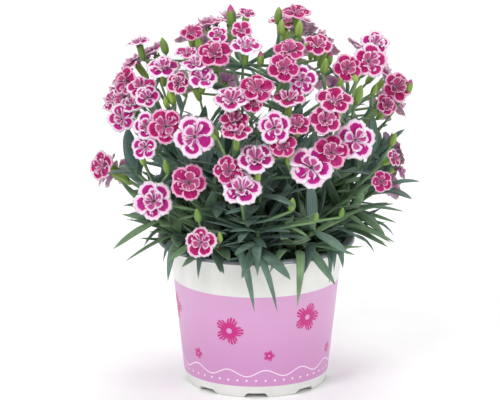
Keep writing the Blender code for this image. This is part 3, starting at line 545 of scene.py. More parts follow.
def backGroup(turn, rise, sunk):
    wanted = []
    for _ in range(back["group"]):
        for _ in range(back["tries"]):
            around = turn + rng.uniform(-back["spread"], back["spread"])
            up = rise + rng.uniform(-back["riseSpread"], back["riseSpread"])
            point = backPoint(around, up) - Vector((0, 0, sunk))
            apart = all((point - other[0]).length > back["apart"] for other in wanted)
            if apart and behindFront(point):
                high = (point.z - head["middle"]) * back["flatter"] + back["lift"]
                wide = back["wide"] * rng.uniform(1 - back["uneven"], 1 + back["uneven"])
                wanted.append((point, Vector((point.x, point.y, high)).normalized(), wide, (wide * 7.3) % 1))
                break
    return wanted


def placeBackBlooms():
    made = 0
    for rise, count, sunk in back["tiers"]:
        for i in range(count):
            wanted = backGroup(math.pi * (i + 0.5) / count, rise, sunk)
            made += 1
            if wanted:
                placeGroup(f"blooms_back_{made:02d}", wanted, Vector(back["push"]))


def crownPlaces():
    places = []
    rings = ((crown["inner"], crown["innerRing"], 45), (crown["outer"], crown["outerRing"], -90))
    for count, ring, start in rings:
        for i in range(count):
            turn = math.radians(start) + math.tau * i / count
            places.append(Vector((ring * math.cos(turn), ring * math.sin(turn), soil["top"])))
    return places


# Roots of stems in a crown, in the order of a sunflower's seeds
def crownSlots():
    places = []
    for k in range(crown["slots"]):
        turn = math.radians(137.5) * k
        reach = crown["spread"] * math.sqrt(k + 0.3)
        places.append(Vector((reach * math.cos(turn), reach * math.sin(turn), crown["top"] - 1.2)))
    return places


crowns = crownPlaces()
freeSlots = [crownSlots() for _ in crowns]


def crownName(number):
    return f"leafy_stems_{number + 1:02d}"


def flat(point):
    return Vector((point.x, point.y, 0))


def placeCrowns():
    for number, place in enumerate(crowns):
        path = [place - Vector((0, 0, crown["sunk"])), place + Vector((0, 0, crown["top"]))]
        space.add(crownName(number), stalk(path, [crown["radius"], crown["radius"] * 0.85], 6))


def crownOrder(goal):
    return sorted(range(len(crowns)), key=lambda n: (flat(crowns[n]) - goal).length)


def slotFor(number, point):
    side = (flat(point) - flat(crowns[number])).normalized() * 4
    return min(freeSlots[number], key=lambda slot: (flat(slot) - side).length, default=None)


def curve(a, b, c, d, share):
    rest = 1 - share
    return a * rest ** 3 + b * 3 * share * rest ** 2 + c * 3 * share ** 2 * rest + d * share ** 3


# A stem runs straight between its stations, as a real one does between its joints
def onRuns(route, shares, share):
    for start, end in zip(shares, shares[1:]):
        if share <= end:
            part = (share - start) / (end - start)
            return curve(*route, start) * (1 - part) + curve(*route, end) * part
    return route[3]


def onStalk(route, shares, share):
    ahead, behind = onRuns(route, shares, min(1, share + 0.02)), onRuns(route, shares, share - 0.02)
    return onRuns(route, shares, share), (ahead - behind).normalized()


def sway(amount, upright=0.5):
    return Vector([rng.uniform(-amount, amount) * k for k in (1, 1, upright)])


# A stalk keeps clear of other clumps, and at first also of its own, apart from its root
def tryStalk(number, route, shares, tips, radii, alone=True):
    owner = crownName(number)
    full = [curve(*route, share) for share in shares] + tips
    free = [onRuns(route, shares, share or stem["freeShare"]) for share in shares] + tips
    if space.meets(stalk(full, [r + gap if r else 0 for r in radii], 3), skip=owner):
        return False
    if alone and space.meets(stalk(free, [r + 0.1 if r else 0 for r in radii], 3)):
        return False
    space.add(owner, stalk(full, radii, 3))
    joints.extend((number, *onStalk(route, shares, share)) for share in stem["joints"])
    return True


def jointsNear(top):
    def fits(joint):
        below, far = top.z - joint[1].z, (top - joint[1]).length
        return below > stem["jointBelow"] and stem["jointNearest"] < far < stem["reach"]

    def cost(joint):
        return (top - joint[1]).length + stem["sidewaysCost"] * (flat(top) - flat(joint[1])).length
    return sorted(filter(fits, joints), key=cost)[:stem["choices"]]


# A stalk branches from a joint near it or rises from a crown, and is moved more with each try
def routeStalk(top, direction, length, tipRadii, size, kind, pink=0.0):
    near = jointsNear(top)
    order = crownOrder(flat(top).normalized() * min(flat(top).length * stem["inwards"], crown["outerRing"]))
    last = [r * size for r in tipRadii]
    for attempt in range(stem["tries"]):
        loose = max(0, attempt - stem["strictTries"]) / stem["tries"]
        along = (direction + sway(stem["looseSway"] * loose, 1)).normalized()
        long = length * (1 - stem["looseShorter"] * loose)
        end = top - along * long
        tips = [end + along * long * stem["neck"], top]
        branching = near and attempt % 2 == 0
        if branching:
            way, shares = fromJoint, stem["branchShares"]
            number, root, axis = near[attempt // 2 % len(near)]
            far = (end - root).length
            first = root + axis * way["lead"] * far + sway(way["sway"] * attempt)
            second = end - along * min(way["last"], way["lastShare"] * far) + sway(way["sway"] * attempt)
        else:
            way, shares = fromCrown, stem["shares"]
            number = order[attempt % stem["crownsTried"]]
            slot = slotFor(number, top)
            if slot is None:
                continue
            root = crowns[number] + slot
            rise = end.z - root.z
            first = root + Vector((0, 0, way["lead"] * rise)) + sway(way["sway"] * attempt)
            second = end - along * min(way["last"], way["lastShare"] * rise)
            second = second - Vector((0, 0, way["sag"] * rise)) + sway(way["sway"] * attempt)
        radii = [*way["radii"], *last]
        alone = attempt < stem["tries"] * stem["aloneUntil"]
        if tryStalk(number, (root, first, second, end), shares, tips, radii, alone):
            if not branching:
                freeSlots[number].remove(slot)
            path = [curve(root, first, second, end, share) for share in shares]
            stems.append(Stem(crownName(number), path, kind, long, along, pink))
            return True
    return False


def placeStalks():
    for item in sorted(placed, key=lambda p: -p.centre.z):
        top = footOf(item.centre, item.direction, item.wide)
        length = min(stem["calyxLong"], item.wide * 0.6)
        routeStalk(top, item.direction, length, (1.0, 0.85), stem["calyxRadius"], "calyx")


def placeBuds():
    for bud in buds:
        spot = onHead(bud.across, bud.up, 0.96) + Vector((0, 0, bud.long / 2))
        outward = (flat(spot) * 0.3 + Vector((0, 0, 70))).normalized()
        tops = [spot] + [spot + sway(4 + k, 1) for k in range(4)]
        any(routeStalk(top, outward, bud.long, (0.21, 0), bud.long, "bud", bud.pink) for top in tops)


def tryLeaf(owner, root, middle, tip, wide, stations, kind):
    if space.meets(leaf(root, middle, tip, wide, stations, gap), skip=owner):
        return False
    free = ((foliage["rootShare"], 0.5),) + stations[1:]
    if space.meets(leaf(root, middle, tip, wide, free, 0.1)):
        return False
    space.add(owner, leaf(root, middle, tip, wide, stations))
    leaves.append(Leaf(owner, root, middle, tip, wide, kind))
    return True


def placeRimBlade(blade):
    tip = seenAt(blade.across, blade.up, -blade.reach)
    goal = Vector((blade.root, -math.sqrt(max(crown["outerRing"] ** 2 - blade.root ** 2, 0)), 0))
    order = crownOrder(goal)
    for attempt in range(arch["tries"]):
        number = order[attempt % arch["clumps"]]
        slot = slotFor(number, tip)
        if slot is None:
            continue
        root = crowns[number] + slot
        outward = flat(tip).normalized() * (arch["out"] + attempt * arch["outMore"])
        upward = Vector((0, 0, arch["up"] + attempt * arch["upMore"]))
        middle = (root + tip) / 2 + outward + sway(arch["sway"], 0) + upward
        if tryLeaf(crownName(number), root, middle, tip, blade.wide, foliage["bladeStations"], "blade"):
            freeSlots[number].remove(slot)
            return


# A leafy shoot with opposite pairs of leaves, each pair a quarter turn on from the last
def placeShoot(number, goal, pairs):
    out = flat(goal).normalized()
    for attempt in range(foliage["shootTries"]):
        tip = goal + sway(foliage["shootSway"] * attempt, 1)
        slot = slotFor(number, tip)
        if slot is None:
            return 0
        root = crowns[number] + slot
        route = (root, root + Vector((0, 0, 0.5 * (tip.z - root.z))), tip - out * 8 - Vector((0, 0, 12)), tip)
        radii = [foliage["shootRadius"]] * 3 + [foliage["shootRadius"] * 0.7]
        if tryStalk(number, route, stem["shares"], [], radii):
            freeSlots[number].remove(slot)
            path = [curve(*route, share) for share in stem["shares"]]
            stems.append(Stem(crownName(number), path, "shoot", 0, (path[-1] - path[-2]).normalized(), 0.0))
            shootEnds[crownName(number)] = onRuns(route, stem["shares"], foliage["shootEnd"])
            return sum(placePair(number, route, pair, pairs) for pair in range(pairs))
    return 0


def placePair(number, route, pair, pairs):
    share = foliage["firstPair"] + foliage["pairsAlong"] * pair / (pairs - 1)
    node, axis = onStalk(route, stem["shares"], share)
    uneven = rng.uniform(-foliage["pairTurn"], foliage["pairTurn"])
    turn = Matrix.Rotation(pair * math.radians(90) + uneven, 3, axis)
    side = turn @ axis.orthogonal().normalized()
    return sum(placeShootLeaf(crownName(number), node, axis, out, share) for out in (side, -side))


def placeShootLeaf(owner, node, axis, side, share):
    for attempt in range(foliage["tries"]):
        shorter = 1 - foliage["shorter"] * attempt / foliage["tries"]
        length = foliage["long"] * rng.uniform(0.8, 1.1) * (1.05 - 0.3 * share) * shorter
        spread = rng.uniform(0.75, 1.25) - 0.25 * share
        swing = rng.uniform(-1, 1) * foliage["swing"] * attempt / foliage["tries"]
        out = Matrix.Rotation(swing, 3, axis) @ side
        heading = (axis + out * spread).normalized()
        tip = node + heading * length + out * foliage["lift"] - Vector((0, 0, rng.uniform(2, 12)))
        wide = foliage["wide"] * rng.uniform(0.8, 1.15)
        middle = node + heading * length * 0.5
        if flat(tip).length > foliage["reach"]:
            continue
        if tryLeaf(owner, node + out * 0.3, middle, tip, wide, foliage["stations"], "leaf"):
            return 1
    return 0


def placeSideShoot(side):
    goal = seenAt(side.across, side.up, side.depth)
    number = crownOrder(flat(goal))[0]
    if placeShoot(number, goal, 3):
        owner = crownName(number)
        root = shootEnds[owner]
        for attempt in range(40):
            shake = Vector((0, rng.uniform(-1, 1), rng.uniform(-1, 1))) * attempt
            tip = Vector((side.reach, root.y, root.z + 4)) + shake
            middle = (root + tip) / 2 + Vector((0, 0, 6))
            if tryLeaf(owner, root, middle, tip, foliage["wide"], foliage["stations"], "leaf"):
                return


# The other leafy shoots of a clump: how far out, aside and up their tips are, and their pairs of leaves
innerShoots = ((14, 0, 62, 5),)
outerShoots = ((27, 0, 30, 4), (16, 9, 58, 4))


def placeShoots():
    for side in sideShoots:
        placeSideShoot(side)
    for number, place in enumerate(crowns):
        out = flat(place).normalized()
        side = Vector((-out.y, out.x, 0))
        for far, aside, high, pairs in innerShoots if number < crown["inner"] else outerShoots:
            placeShoot(number, place + out * far + side * aside + Vector((0, 0, high)), pairs)


for name in ("pot", "soil"):
    solid = frame["nodes"][name].data
    space.add(name, ([v.co / mm for v in solid.vertices], [tuple(p.vertices) for p in solid.polygons]))
placeFrontBlooms()
placeBackBlooms()
placeCrowns()
placeStalks()
placeBuds()
for blade in rimBlades:
    placeRimBlade(blade)
placeShoots()
print("plant laid out:", len(placed), "blooms,", len(stems), "stems,", len(leaves), "leaves")


# Materials: an sRGB hex value made linear
def colour(hexValue):
    channels = [int(hexValue[i:i + 2], 16) / 255 for i in (1, 3, 5)]
    return tuple(c / 12.92 if c <= 0.04045 else ((c + 0.055) / 1.055) ** 2.4 for c in channels) + (1.0,)


# Sets or links a node's inputs, by their names or in their order. A whole node stands for its open output.
def feed(tree, node, inputs):
    for key, value in inputs.items() if isinstance(inputs, dict) else enumerate(inputs):
        if isinstance(value, bpy.types.Node):
            value = next(socket for socket in value.outputs if socket.enabled)
        if isinstance(value, bpy.types.NodeSocket):
            tree.links.new(value, node.inputs[key])
        else:
            node.inputs[key].default_value = value


def addNode(tree, kind, inputs=(), **settings):
    node = tree.nodes.new(kind)
    for name, value in settings.items():
        setattr(node, name, value)
    feed(tree, node, inputs)
    return node


def newMaterial(name):
    material = bpy.data.materials.new(name)
    material.use_nodes = True
    return material, material.node_tree, material.node_tree.nodes["Principled BSDF"]


smooth = {"interpolation_type": "SMOOTHSTEP"}
cloudy = {"Detail": 3.0, "Roughness": 0.55}


# Lays colours over what is below, each by its share: a node, or a value with its limits and what they give
def paint(tree, below, layers):
    below = colour(below) if isinstance(below, str) else below
    for share, over in layers:
        if isinstance(share, tuple):
            share = addNode(tree, "ShaderNodeMapRange", share, **smooth)
        over = colour(over) if isinstance(over, str) else over
        below = addNode(tree, "ShaderNodeMix", {0: share, 6: below, 7: over}, data_type="RGBA")
    return below


# Injection-moulded polypropylene: a soft broad shine, slightly waved by the mould, with random patches of painted
# shade where a shaded copy of its colour is mixed in
def mouldedPlastic(name, plain, shaded, roughness):
    material, tree, shader = newMaterial(name)
    point = addNode(tree, "ShaderNodeTexCoord").outputs["Object"]
    shade = addNode(tree, "ShaderNodeTexNoise", {"Vector": point, "Scale": 45.0, **cloudy})
    fine = addNode(tree, "ShaderNodeTexNoise", {"Vector": point, "Scale": 500.0, **cloudy, "Detail": 2.0})
    # Painted shade: the noise mixes the shaded copy of the colour into the plain one
    base = paint(tree, plain, [((shade, 0.3, 0.7), shaded)])
    rough = (shade, 0.3, 0.7, roughness - 0.05, roughness + 0.05)
    feed(tree, shader, {
        "Base Color": base, "Roughness": addNode(tree, "ShaderNodeMapRange", rough, **smooth), "IOR": 1.49,
        "Normal": addNode(tree, "ShaderNodeBump", {"Height": fine, "Strength": 0.05, "Distance": 0.0002}),
    })
    return material, tree, shader, base, point


# The print on the white pot: a pink ground, open five-petalled flowers, a ring of dots and a thin waved line
potPrint = {
    "ground": "#D4A0CB", "groundDeep": "#CC90C2", "ink": "#C21F7F", "line": "#F4E2F2", "flowers": 6,
    "turned": 0.35, "flowerRadius": 10.0, "flowerHeight": 47.0, "flowerRise": 7.0, "smallRadius": 4.2,
    "smallHeight": 27.0, "smallRise": 3.0, "lineHeight": 17.5, "lineWave": 2.2, "lineWide": 0.7, "dots": 48,
    "dotRadius": 0.8, "dotHeight": 12.4, "meanRadius": 51.0, "edge": 0.2,
}


# How far a point is from the nearest of a ring of marks: sideways round the pot, up it, and in all
def nearestMark(tree, turn, height, count, offset, middle, rise):
    step = math.tau / count
    turned = addNode(tree, "ShaderNodeMath", (turn, offset), operation="ADD")
    place = addNode(tree, "ShaderNodeMath", (turned, step), operation="DIVIDE")
    number = addNode(tree, "ShaderNodeMath", (place,), operation="ROUND")
    part = addNode(tree, "ShaderNodeMath", (place, number), operation="SUBTRACT")
    sideways = addNode(tree, "ShaderNodeMath", (part, step * potPrint["meanRadius"]), operation="MULTIPLY")
    odd = addNode(tree, "ShaderNodeMath", (number, 1.0), operation="PINGPONG")
    centre = addNode(tree, "ShaderNodeMath", (odd, rise, middle), operation="MULTIPLY_ADD")
    upward = addNode(tree, "ShaderNodeMath", (height, centre), operation="SUBTRACT")
    square = addNode(tree, "ShaderNodeMath", (sideways, sideways), operation="MULTIPLY")
    squares = addNode(tree, "ShaderNodeMath", (upward, upward, square), operation="MULTIPLY_ADD")
    return sideways, upward, addNode(tree, "ShaderNodeMath", (squares,), operation="SQRT")


# A ring of open flowers, every other one higher, each with a bare heart and fine lines between its petals
def flowerMarks(tree, turn, height, size, offset):
    radius, middle, rise = [potPrint[size + key] for key in ("Radius", "Height", "Rise")]
    sideways, upward, reach = nearestMark(tree, turn, height, potPrint["flowers"], offset, middle, rise)
    around = addNode(tree, "ShaderNodeMath", (upward, sideways), operation="ARCTAN2")
    lobes = addNode(tree, "ShaderNodeMath", (around, petals / 2), operation="MULTIPLY")
    lobes = addNode(tree, "ShaderNodeMath", (lobes,), operation="COSINE")
    lobes = addNode(tree, "ShaderNodeMath", (lobes,), operation="ABSOLUTE")
    lobes = addNode(tree, "ShaderNodeMath", (lobes, 0.6), operation="POWER")
    outline = addNode(tree, "ShaderNodeMath", (lobes, radius * 0.5, radius * 0.5), operation="MULTIPLY_ADD")
    within = addNode(tree, "ShaderNodeMath", (outline, reach), operation="SUBTRACT")
    inside = addNode(tree, "ShaderNodeMapRange", (within, 0.0, 0.35), **smooth)
    heart = addNode(tree, "ShaderNodeMapRange", (reach, radius * 0.16, radius * 0.2), **smooth)
    streaks = addNode(tree, "ShaderNodeMath", (around, petals * 5), operation="MULTIPLY")
    streaks = addNode(tree, "ShaderNodeMath", (streaks,), operation="COSINE")
    streaks = addNode(tree, "ShaderNodeMath", (streaks, reach), operation="MULTIPLY")
    lines = addNode(tree, "ShaderNodeMapRange", (streaks, radius * 0.50, radius * 0.62, 1.0, 0.0), **smooth)
    ring = addNode(tree, "ShaderNodeMath", (inside, heart), operation="MULTIPLY")
    return addNode(tree, "ShaderNodeMath", (ring, lines), operation="MULTIPLY")


def printedPot():
    plastic = mouldedPlastic("printedWhitePolypropylene", "#E7E7E4", "#DDDEDA", 0.36)
    material, tree, shader, base, point = plastic
    spot = addNode(tree, "ShaderNodeSeparateXYZ", (point,)).outputs
    height = addNode(tree, "ShaderNodeMath", (spot["Z"], 1 / mm), operation="MULTIPLY")
    forward = addNode(tree, "ShaderNodeMath", (spot["Y"], -1.0), operation="MULTIPLY")
    turn = addNode(tree, "ShaderNodeMath", (spot["X"], forward), operation="ARCTAN2")
    edge, low, high = potPrint["edge"], pot["bandBottom"], pot["bandTop"]
    above = addNode(tree, "ShaderNodeMapRange", (height, low - edge, low + edge), **smooth)
    under = addNode(tree, "ShaderNodeMapRange", (height, high - edge, high + edge, 1.0, 0.0), **smooth)
    band = addNode(tree, "ShaderNodeMath", (above, under), operation="MULTIPLY")
    big = flowerMarks(tree, turn, height, "flower", potPrint["turned"])
    small = flowerMarks(tree, turn, height, "small", potPrint["turned"] + math.pi / potPrint["flowers"])
    flowers = addNode(tree, "ShaderNodeMath", (big, small), operation="MAXIMUM")
    wave = addNode(tree, "ShaderNodeMath", (turn, potPrint["flowers"] * 2), operation="MULTIPLY")
    wave = addNode(tree, "ShaderNodeMath", (wave,), operation="SINE")
    wave = (wave, potPrint["lineWave"], potPrint["lineHeight"])
    wave = addNode(tree, "ShaderNodeMath", wave, operation="MULTIPLY_ADD")
    off = addNode(tree, "ShaderNodeMath", (height, wave), operation="SUBTRACT")
    off = addNode(tree, "ShaderNodeMath", (off,), operation="ABSOLUTE")
    wide = potPrint["lineWide"]
    line = addNode(tree, "ShaderNodeMapRange", (off, wide * 0.4, wide * 0.7, 1.0, 0.0), **smooth)
    reach = nearestMark(tree, turn, height, potPrint["dots"], 0.0, potPrint["dotHeight"], 0.0)[2]
    radius = potPrint["dotRadius"]
    dots = addNode(tree, "ShaderNodeMapRange", (reach, radius * 0.8, radius * 1.1, 1.0, 0.0), **smooth)
    drawn = addNode(tree, "ShaderNodeMath", (line, dots), operation="MAXIMUM")
    printed = paint(tree, potPrint["ground"], [
        ((height, 5.0, 70.0, 1.0, 0.0), potPrint["groundDeep"]), (flowers, potPrint["ink"]),
        (drawn, potPrint["line"]),
    ])
    feed(tree, shader, {"Base Color": paint(tree, base, [(band, printed)])})
    return material


# Moist peat and bark: matt, almost black, in grains of a millimetre or two
def moistPeat():
    material, tree, shader = newMaterial("moistPeat")
    point = addNode(tree, "ShaderNodeTexCoord").outputs["Object"]
    coarse = {"Vector": point, "Scale": 420.0, "Detail": 6.0, "Roughness": 0.7}
    grains = addNode(tree, "ShaderNodeTexNoise", coarse)
    patches = addNode(tree, "ShaderNodeTexNoise", {"Vector": point, "Scale": 90.0, **cloudy})
    feed(tree, shader, {
        "Base Color": paint(tree, "#15110D", [
            ((grains, 0.35, 0.7), "#3A2C20"), ((patches, 0.45, 0.7, 0.0, 0.5), "#241B14"),
        ]),
        "Roughness": 0.93,
        "Normal": addNode(tree, "ShaderNodeBump", {"Height": grains, "Strength": 0.7, "Distance": 0.0012}),
    })
    return material


# Dianthus leaf: blue-green under a thin grey wax bloom, paler at its root, fine veins along it, a darker keel
def waxyLeaf():
    material, tree, shader = newMaterial("waxyLeaf")
    point = addNode(tree, "ShaderNodeTexCoord").outputs["Object"]
    tone, along, across = [
        addNode(tree, "ShaderNodeAttribute", attribute_name=name).outputs["Fac"]
        for name in ("tone", "along", "across")
    ]
    cloud = addNode(tree, "ShaderNodeTexNoise", {"Vector": point, "Scale": 110.0, **cloudy})
    veins = addNode(tree, "ShaderNodeMath", (across, 22.0), operation="MULTIPLY")
    veins = addNode(tree, "ShaderNodeMath", (veins,), operation="SINE")
    fromKeel = addNode(tree, "ShaderNodeMath", (across,), operation="ABSOLUTE")
    fresh = paint(tree, "#658459", [((cloud, 0.3, 0.7), "#7C9C6C")])
    feed(tree, shader, {
        "Base Color": paint(tree, "#546F63", [
            ((cloud, 0.35, 0.7), "#6D8B7C"), ((tone, 0.55, 1.0), fresh),
            ((tone, 0.0, 0.4, 0.55, 0.0), "#3A4C52"), ((veins, 0.2, 1.0, 0.0, 0.16), "#9DBDA4"),
            ((fromKeel, 0.03, 0.16, 0.25, 0.0), "#3F5B4C"), ((along, 0.0, 0.22, 0.45, 0.0), "#86A97A"),
            ((along, 0.93, 1.0, 0.0, 0.4), "#8A9A60"),
        ]),
        "Roughness": addNode(tree, "ShaderNodeMapRange", (cloud, 0.3, 0.7, 0.42, 0.58), **smooth),
        "IOR": 1.45, "Sheen Weight": 0.12,
        "Normal": addNode(tree, "ShaderNodeBump", {"Height": veins, "Strength": 0.12, "Distance": 0.0002}),
    })
    return material


# Dianthus stem: smooth, grey-green with the same wax, yellower towards its top
def waxyStem():
    material, tree, shader = newMaterial("waxyStem")
    point = addNode(tree, "ShaderNodeTexCoord").outputs["Object"]
    cloud = addNode(tree, "ShaderNodeTexNoise", {"Vector": point, "Scale": 160.0, **cloudy})
    along = addNode(tree, "ShaderNodeAttribute", attribute_name="along").outputs["Fac"]
    feed(tree, shader, {
        "Base Color": paint(tree, "#4F6B57", [
            ((cloud, 0.35, 0.7), "#6B8B72"), ((along, 0.4, 1.0, 0.0, 0.75), "#7B9A5E"),
        ]),
        "Roughness": addNode(tree, "ShaderNodeMapRange", (cloud, 0.3, 0.7, 0.45, 0.6), **smooth), "IOR": 1.45,
    })
    return material


# Calyx and bud: a firm ribbed tube, yellow-green, with painted shade in the grooves between its ribs, its teeth edged
# pale
def ribbedCalyx():
    material, tree, shader = newMaterial("ribbedCalyx")
    along, ribs, tone, pink = [
        addNode(tree, "ShaderNodeAttribute", attribute_name=name).outputs["Fac"]
        for name in ("along", "across", "tone", "pink")
    ]
    top = addNode(tree, "ShaderNodeMapRange", (along, 0.62, 0.86), **smooth)
    feed(tree, shader, {
        "Base Color": paint(tree, "#6C8E3E", [
            # Painted shade: darker green in the grooves between the ribs
            ((tone, 0.0, 1.0), "#9AB552"), ((ribs, 0.2, 0.9, 0.0, 0.4), "#55753A"),
            ((along, 0.0, 0.35, 0.5, 0.0), "#5C7C4A"), ((along, 0.8, 1.0, 0.0, 0.35), "#B9C97E"),
            (addNode(tree, "ShaderNodeMath", (pink, top), operation="MULTIPLY"), "#C2358A"),
        ]),
        "Roughness": 0.48, "IOR": 1.45,
    })
    return material


# The petal's blotch is rounded and set in from its sides and edge, and the veins carry its colour outwards
blotchShape = {"middle": 0.44, "long": 0.39, "wide": 0.84, "longRound": 2.8, "wideRound": 3.6, "ragged": 1.1}


def petalBlotch(tree, along, across, pale, inner, rays):
    shape = blotchShape
    longways = addNode(tree, "ShaderNodeMath", (along, shape["middle"]), operation="SUBTRACT")
    longways = addNode(tree, "ShaderNodeMath", (longways, shape["long"]), operation="DIVIDE")
    longways = addNode(tree, "ShaderNodeMath", (longways,), operation="ABSOLUTE")
    longways = addNode(tree, "ShaderNodeMath", (longways, shape["longRound"]), operation="POWER")
    sideways = addNode(tree, "ShaderNodeMath", (across, shape["wide"]), operation="DIVIDE")
    sideways = addNode(tree, "ShaderNodeMath", (sideways,), operation="ABSOLUTE")
    sideways = addNode(tree, "ShaderNodeMath", (sideways, shape["wideRound"]), operation="POWER")
    size = addNode(tree, "ShaderNodeMath", (longways, sideways), operation="ADD")
    wider = addNode(tree, "ShaderNodeMath", (pale, 0.62, -0.22), operation="MULTIPLY_ADD")
    # Painted light: inner petals get a smaller blotch, so they look paler against the shade among them
    wider = addNode(tree, "ShaderNodeMath", (inner, 0.1, wider), operation="MULTIPLY_ADD")
    ragged = addNode(tree, "ShaderNodeMath", (rays, 0.5), operation="SUBTRACT")
    ragged = addNode(tree, "ShaderNodeMath", (ragged, shape["ragged"], wider), operation="MULTIPLY_ADD")
    outline = addNode(tree, "ShaderNodeMath", (size, ragged), operation="ADD")
    return size, addNode(tree, "ShaderNodeMapRange", (outline, 0.88, 1.12, 1.0, 0.0), **smooth)


# Dianthus petal: matt velvet from its tiny blunt hairs, a deep magenta blotch, a pale fringed edge, veins, and painted
# light on the inner petals, which are made paler against their shade
def velvetPetal():
    material, tree, shader = newMaterial("velvetPetal")
    point = addNode(tree, "ShaderNodeTexCoord").outputs["Object"]
    along, across, pale, inner, under = [
        addNode(tree, "ShaderNodeAttribute", attribute_name=name).outputs["Fac"]
        for name in ("along", "across", "pale", "inner", "under")
    ]
    fan = [addNode(tree, "ShaderNodeMath", (value, scale), operation="MULTIPLY")
           for value, scale in ((across, 8.0), (along, 1.3), (pale, 7.0))]
    fan = addNode(tree, "ShaderNodeCombineXYZ", fan)
    rays = addNode(tree, "ShaderNodeTexNoise", {"Vector": fan, "Scale": 1.0, **cloudy})
    cloud = addNode(tree, "ShaderNodeTexNoise", {"Vector": point, "Scale": 70.0, **cloudy, "Detail": 2.0})
    size, blotch = petalBlotch(tree, along, across, pale, inner, rays)
    deep = paint(tree, "#84034C", [
        ((rays, 0.38, 0.62), "#B41066"), ((pale, 0.4, 1.0), "#A8127A"),
        ((along, 0.1, 0.4, 0.35, 0.0), "#C4448F"),
    ])
    edge = paint(tree, "#DD75A8", [((pale, 0.0, 0.9), "#F2C8E2")])
    rim = paint(tree, "#F4BBD4", [((pale, 0.0, 0.8), "#FDF4F9")])
    top = paint(tree, edge, [
        ((size, 1.0, 2.1), rim), ((rays, 0.52, 0.75, 0.0, 0.3), "#E08FC0"), (blotch, deep),
        ((along, 0.06, 0.2, 0.9, 0.0), "#E6A9CC"),
        # Painted light: the inner petals are tinted paler to offset the shade among them
        (addNode(tree, "ShaderNodeMath", (inner, 0.16), operation="MULTIPLY"), "#F2B4DC"),
    ])
    below = paint(tree, "#D094CC", [
        ((along, 0.2, 0.95), "#F0D2EA"),
        (addNode(tree, "ShaderNodeMath", (blotch, 0.3), operation="MULTIPLY"), "#A8438C"),
    ])
    feed(tree, shader, {
        "Base Color": paint(tree, top, [(under, below), ((cloud, 0.4, 0.75, 0.0, 0.16), "#CB5CA2")]),
        "Roughness": 0.66, "IOR": 1.4, "Specular IOR Level": 0.2, "Subsurface Weight": 0.15,
        "Subsurface Scale": 0.002, "Sheen Weight": 0.1, "Sheen Roughness": 0.5,
        "Normal": addNode(tree, "ShaderNodeBump", {"Height": rays, "Strength": 0.3, "Distance": 0.0003}),
    })
    return material


whitePlastic = printedPot()
greyPlastic = mouldedPlastic("greyPolypropylene", "#8D9296", "#7F858A", 0.42)[0]
peat = moistPeat()
leafSkin = waxyLeaf()
stemSkin = waxyStem()
calyxSkin = ribbedCalyx()
petalSkin = velvetPetal()
print("materials made")


# Meshes and Geometry Nodes trees. Each input is given with its kind, and the material comes last.
def newTree(name, **inputs):
    tree = bpy.data.node_groups.new(name, "GeometryNodeTree")
    tree.interface.new_socket("Geometry", in_out="OUTPUT", socket_type="NodeSocketGeometry")
    for label, kind in {"Geometry": "Geometry", **inputs, "Material": "Material"}.items():
        tree.interface.new_socket(label, in_out="INPUT", socket_type=f"NodeSocket{kind}")
    return tree, addNode(tree, "NodeGroupInput").outputs


def endTree(tree, source, geometry):
    realized = addNode(tree, "GeometryNodeRealizeInstances", (geometry,))
    rounded = addNode(tree, "GeometryNodeSetShadeSmooth", (realized,))
    made = addNode(tree, "GeometryNodeSetMaterial", {"Geometry": rounded, "Material": source["Material"]})
    addNode(tree, "NodeGroupOutput", (made,))
    return tree


# Sweeps a profile along the lines, as thick as their points say
def endSweep(tree, source, lines, profile):
    thick = addNode(tree, "GeometryNodeInputNamedAttribute", {"Name": "thick"}, data_type="FLOAT")
    inputs = {"Curve": lines, "Profile Curve": profile, "Scale": thick, "Fill Caps": True}
    return endTree(tree, source, addNode(tree, "GeometryNodeCurveToMesh", inputs))


# A round stem along each line
def stemTree():
    tree, source = newTree("roundStems", Sides="Int")
    lines = addNode(tree, "GeometryNodeMeshToCurve", (source["Geometry"],))
    ring = addNode(tree, "GeometryNodeCurvePrimitiveCircle", {"Resolution": source["Sides"], "Radius": 1.0})
    return endSweep(tree, source, lines, ring)


# A keeled leaf along each line: a thin lens across it, folded up a little from its keel
def leafTree():
    tree, source = newTree("keeledLeaves", Sides="Int", Fold="Float", Thickness="Float")
    lines = addNode(tree, "GeometryNodeMeshToCurve", (source["Geometry"],))
    side = addNode(tree, "GeometryNodeInputNamedAttribute", {"Name": "side"}, data_type="FLOAT_VECTOR")
    lines = addNode(tree, "GeometryNodeSetCurveNormal", {"Curve": lines, "Normal": side}, mode="FREE")
    ring = addNode(tree, "GeometryNodeCurvePrimitiveCircle", {"Resolution": source["Sides"], "Radius": 1.0})
    spot = addNode(tree, "ShaderNodeSeparateXYZ", (addNode(tree, "GeometryNodeInputPosition"),)).outputs
    fromKeel = addNode(tree, "ShaderNodeMath", (spot[0],), operation="ABSOLUTE")
    fold = addNode(tree, "ShaderNodeMath", (fromKeel, source["Fold"]), operation="MULTIPLY")
    lens = addNode(tree, "ShaderNodeMath", (spot[1], source["Thickness"]), operation="MULTIPLY")
    height = addNode(tree, "ShaderNodeMath", (fold, lens), operation="ADD")
    raised = addNode(tree, "ShaderNodeCombineXYZ", (spot[0], height))
    profile = addNode(tree, "GeometryNodeSetPosition", {"Geometry": ring, "Position": raised})
    across = {"Geometry": profile, "Name": "across", "Value": spot[0]}
    profile = addNode(tree, "GeometryNodeStoreNamedAttribute", across, data_type="FLOAT", domain="POINT")
    return endSweep(tree, source, lines, profile)


# Puts one of a collection's shapes on each point, with what else the inputs say
def endShapes(tree, source, points, turn, inputs):
    shapes = {"Collection": source["Shapes"], "Separate Children": True, "Reset Children": True}
    shapes = addNode(tree, "GeometryNodeCollectionInfo", shapes)
    turn = addNode(tree, "FunctionNodeEulerToRotation", (turn,))
    placed = {"Points": points, "Instance": shapes, "Pick Instance": True, "Rotation": turn, **inputs}
    return endTree(tree, source, addNode(tree, "GeometryNodeInstanceOnPoints", placed))


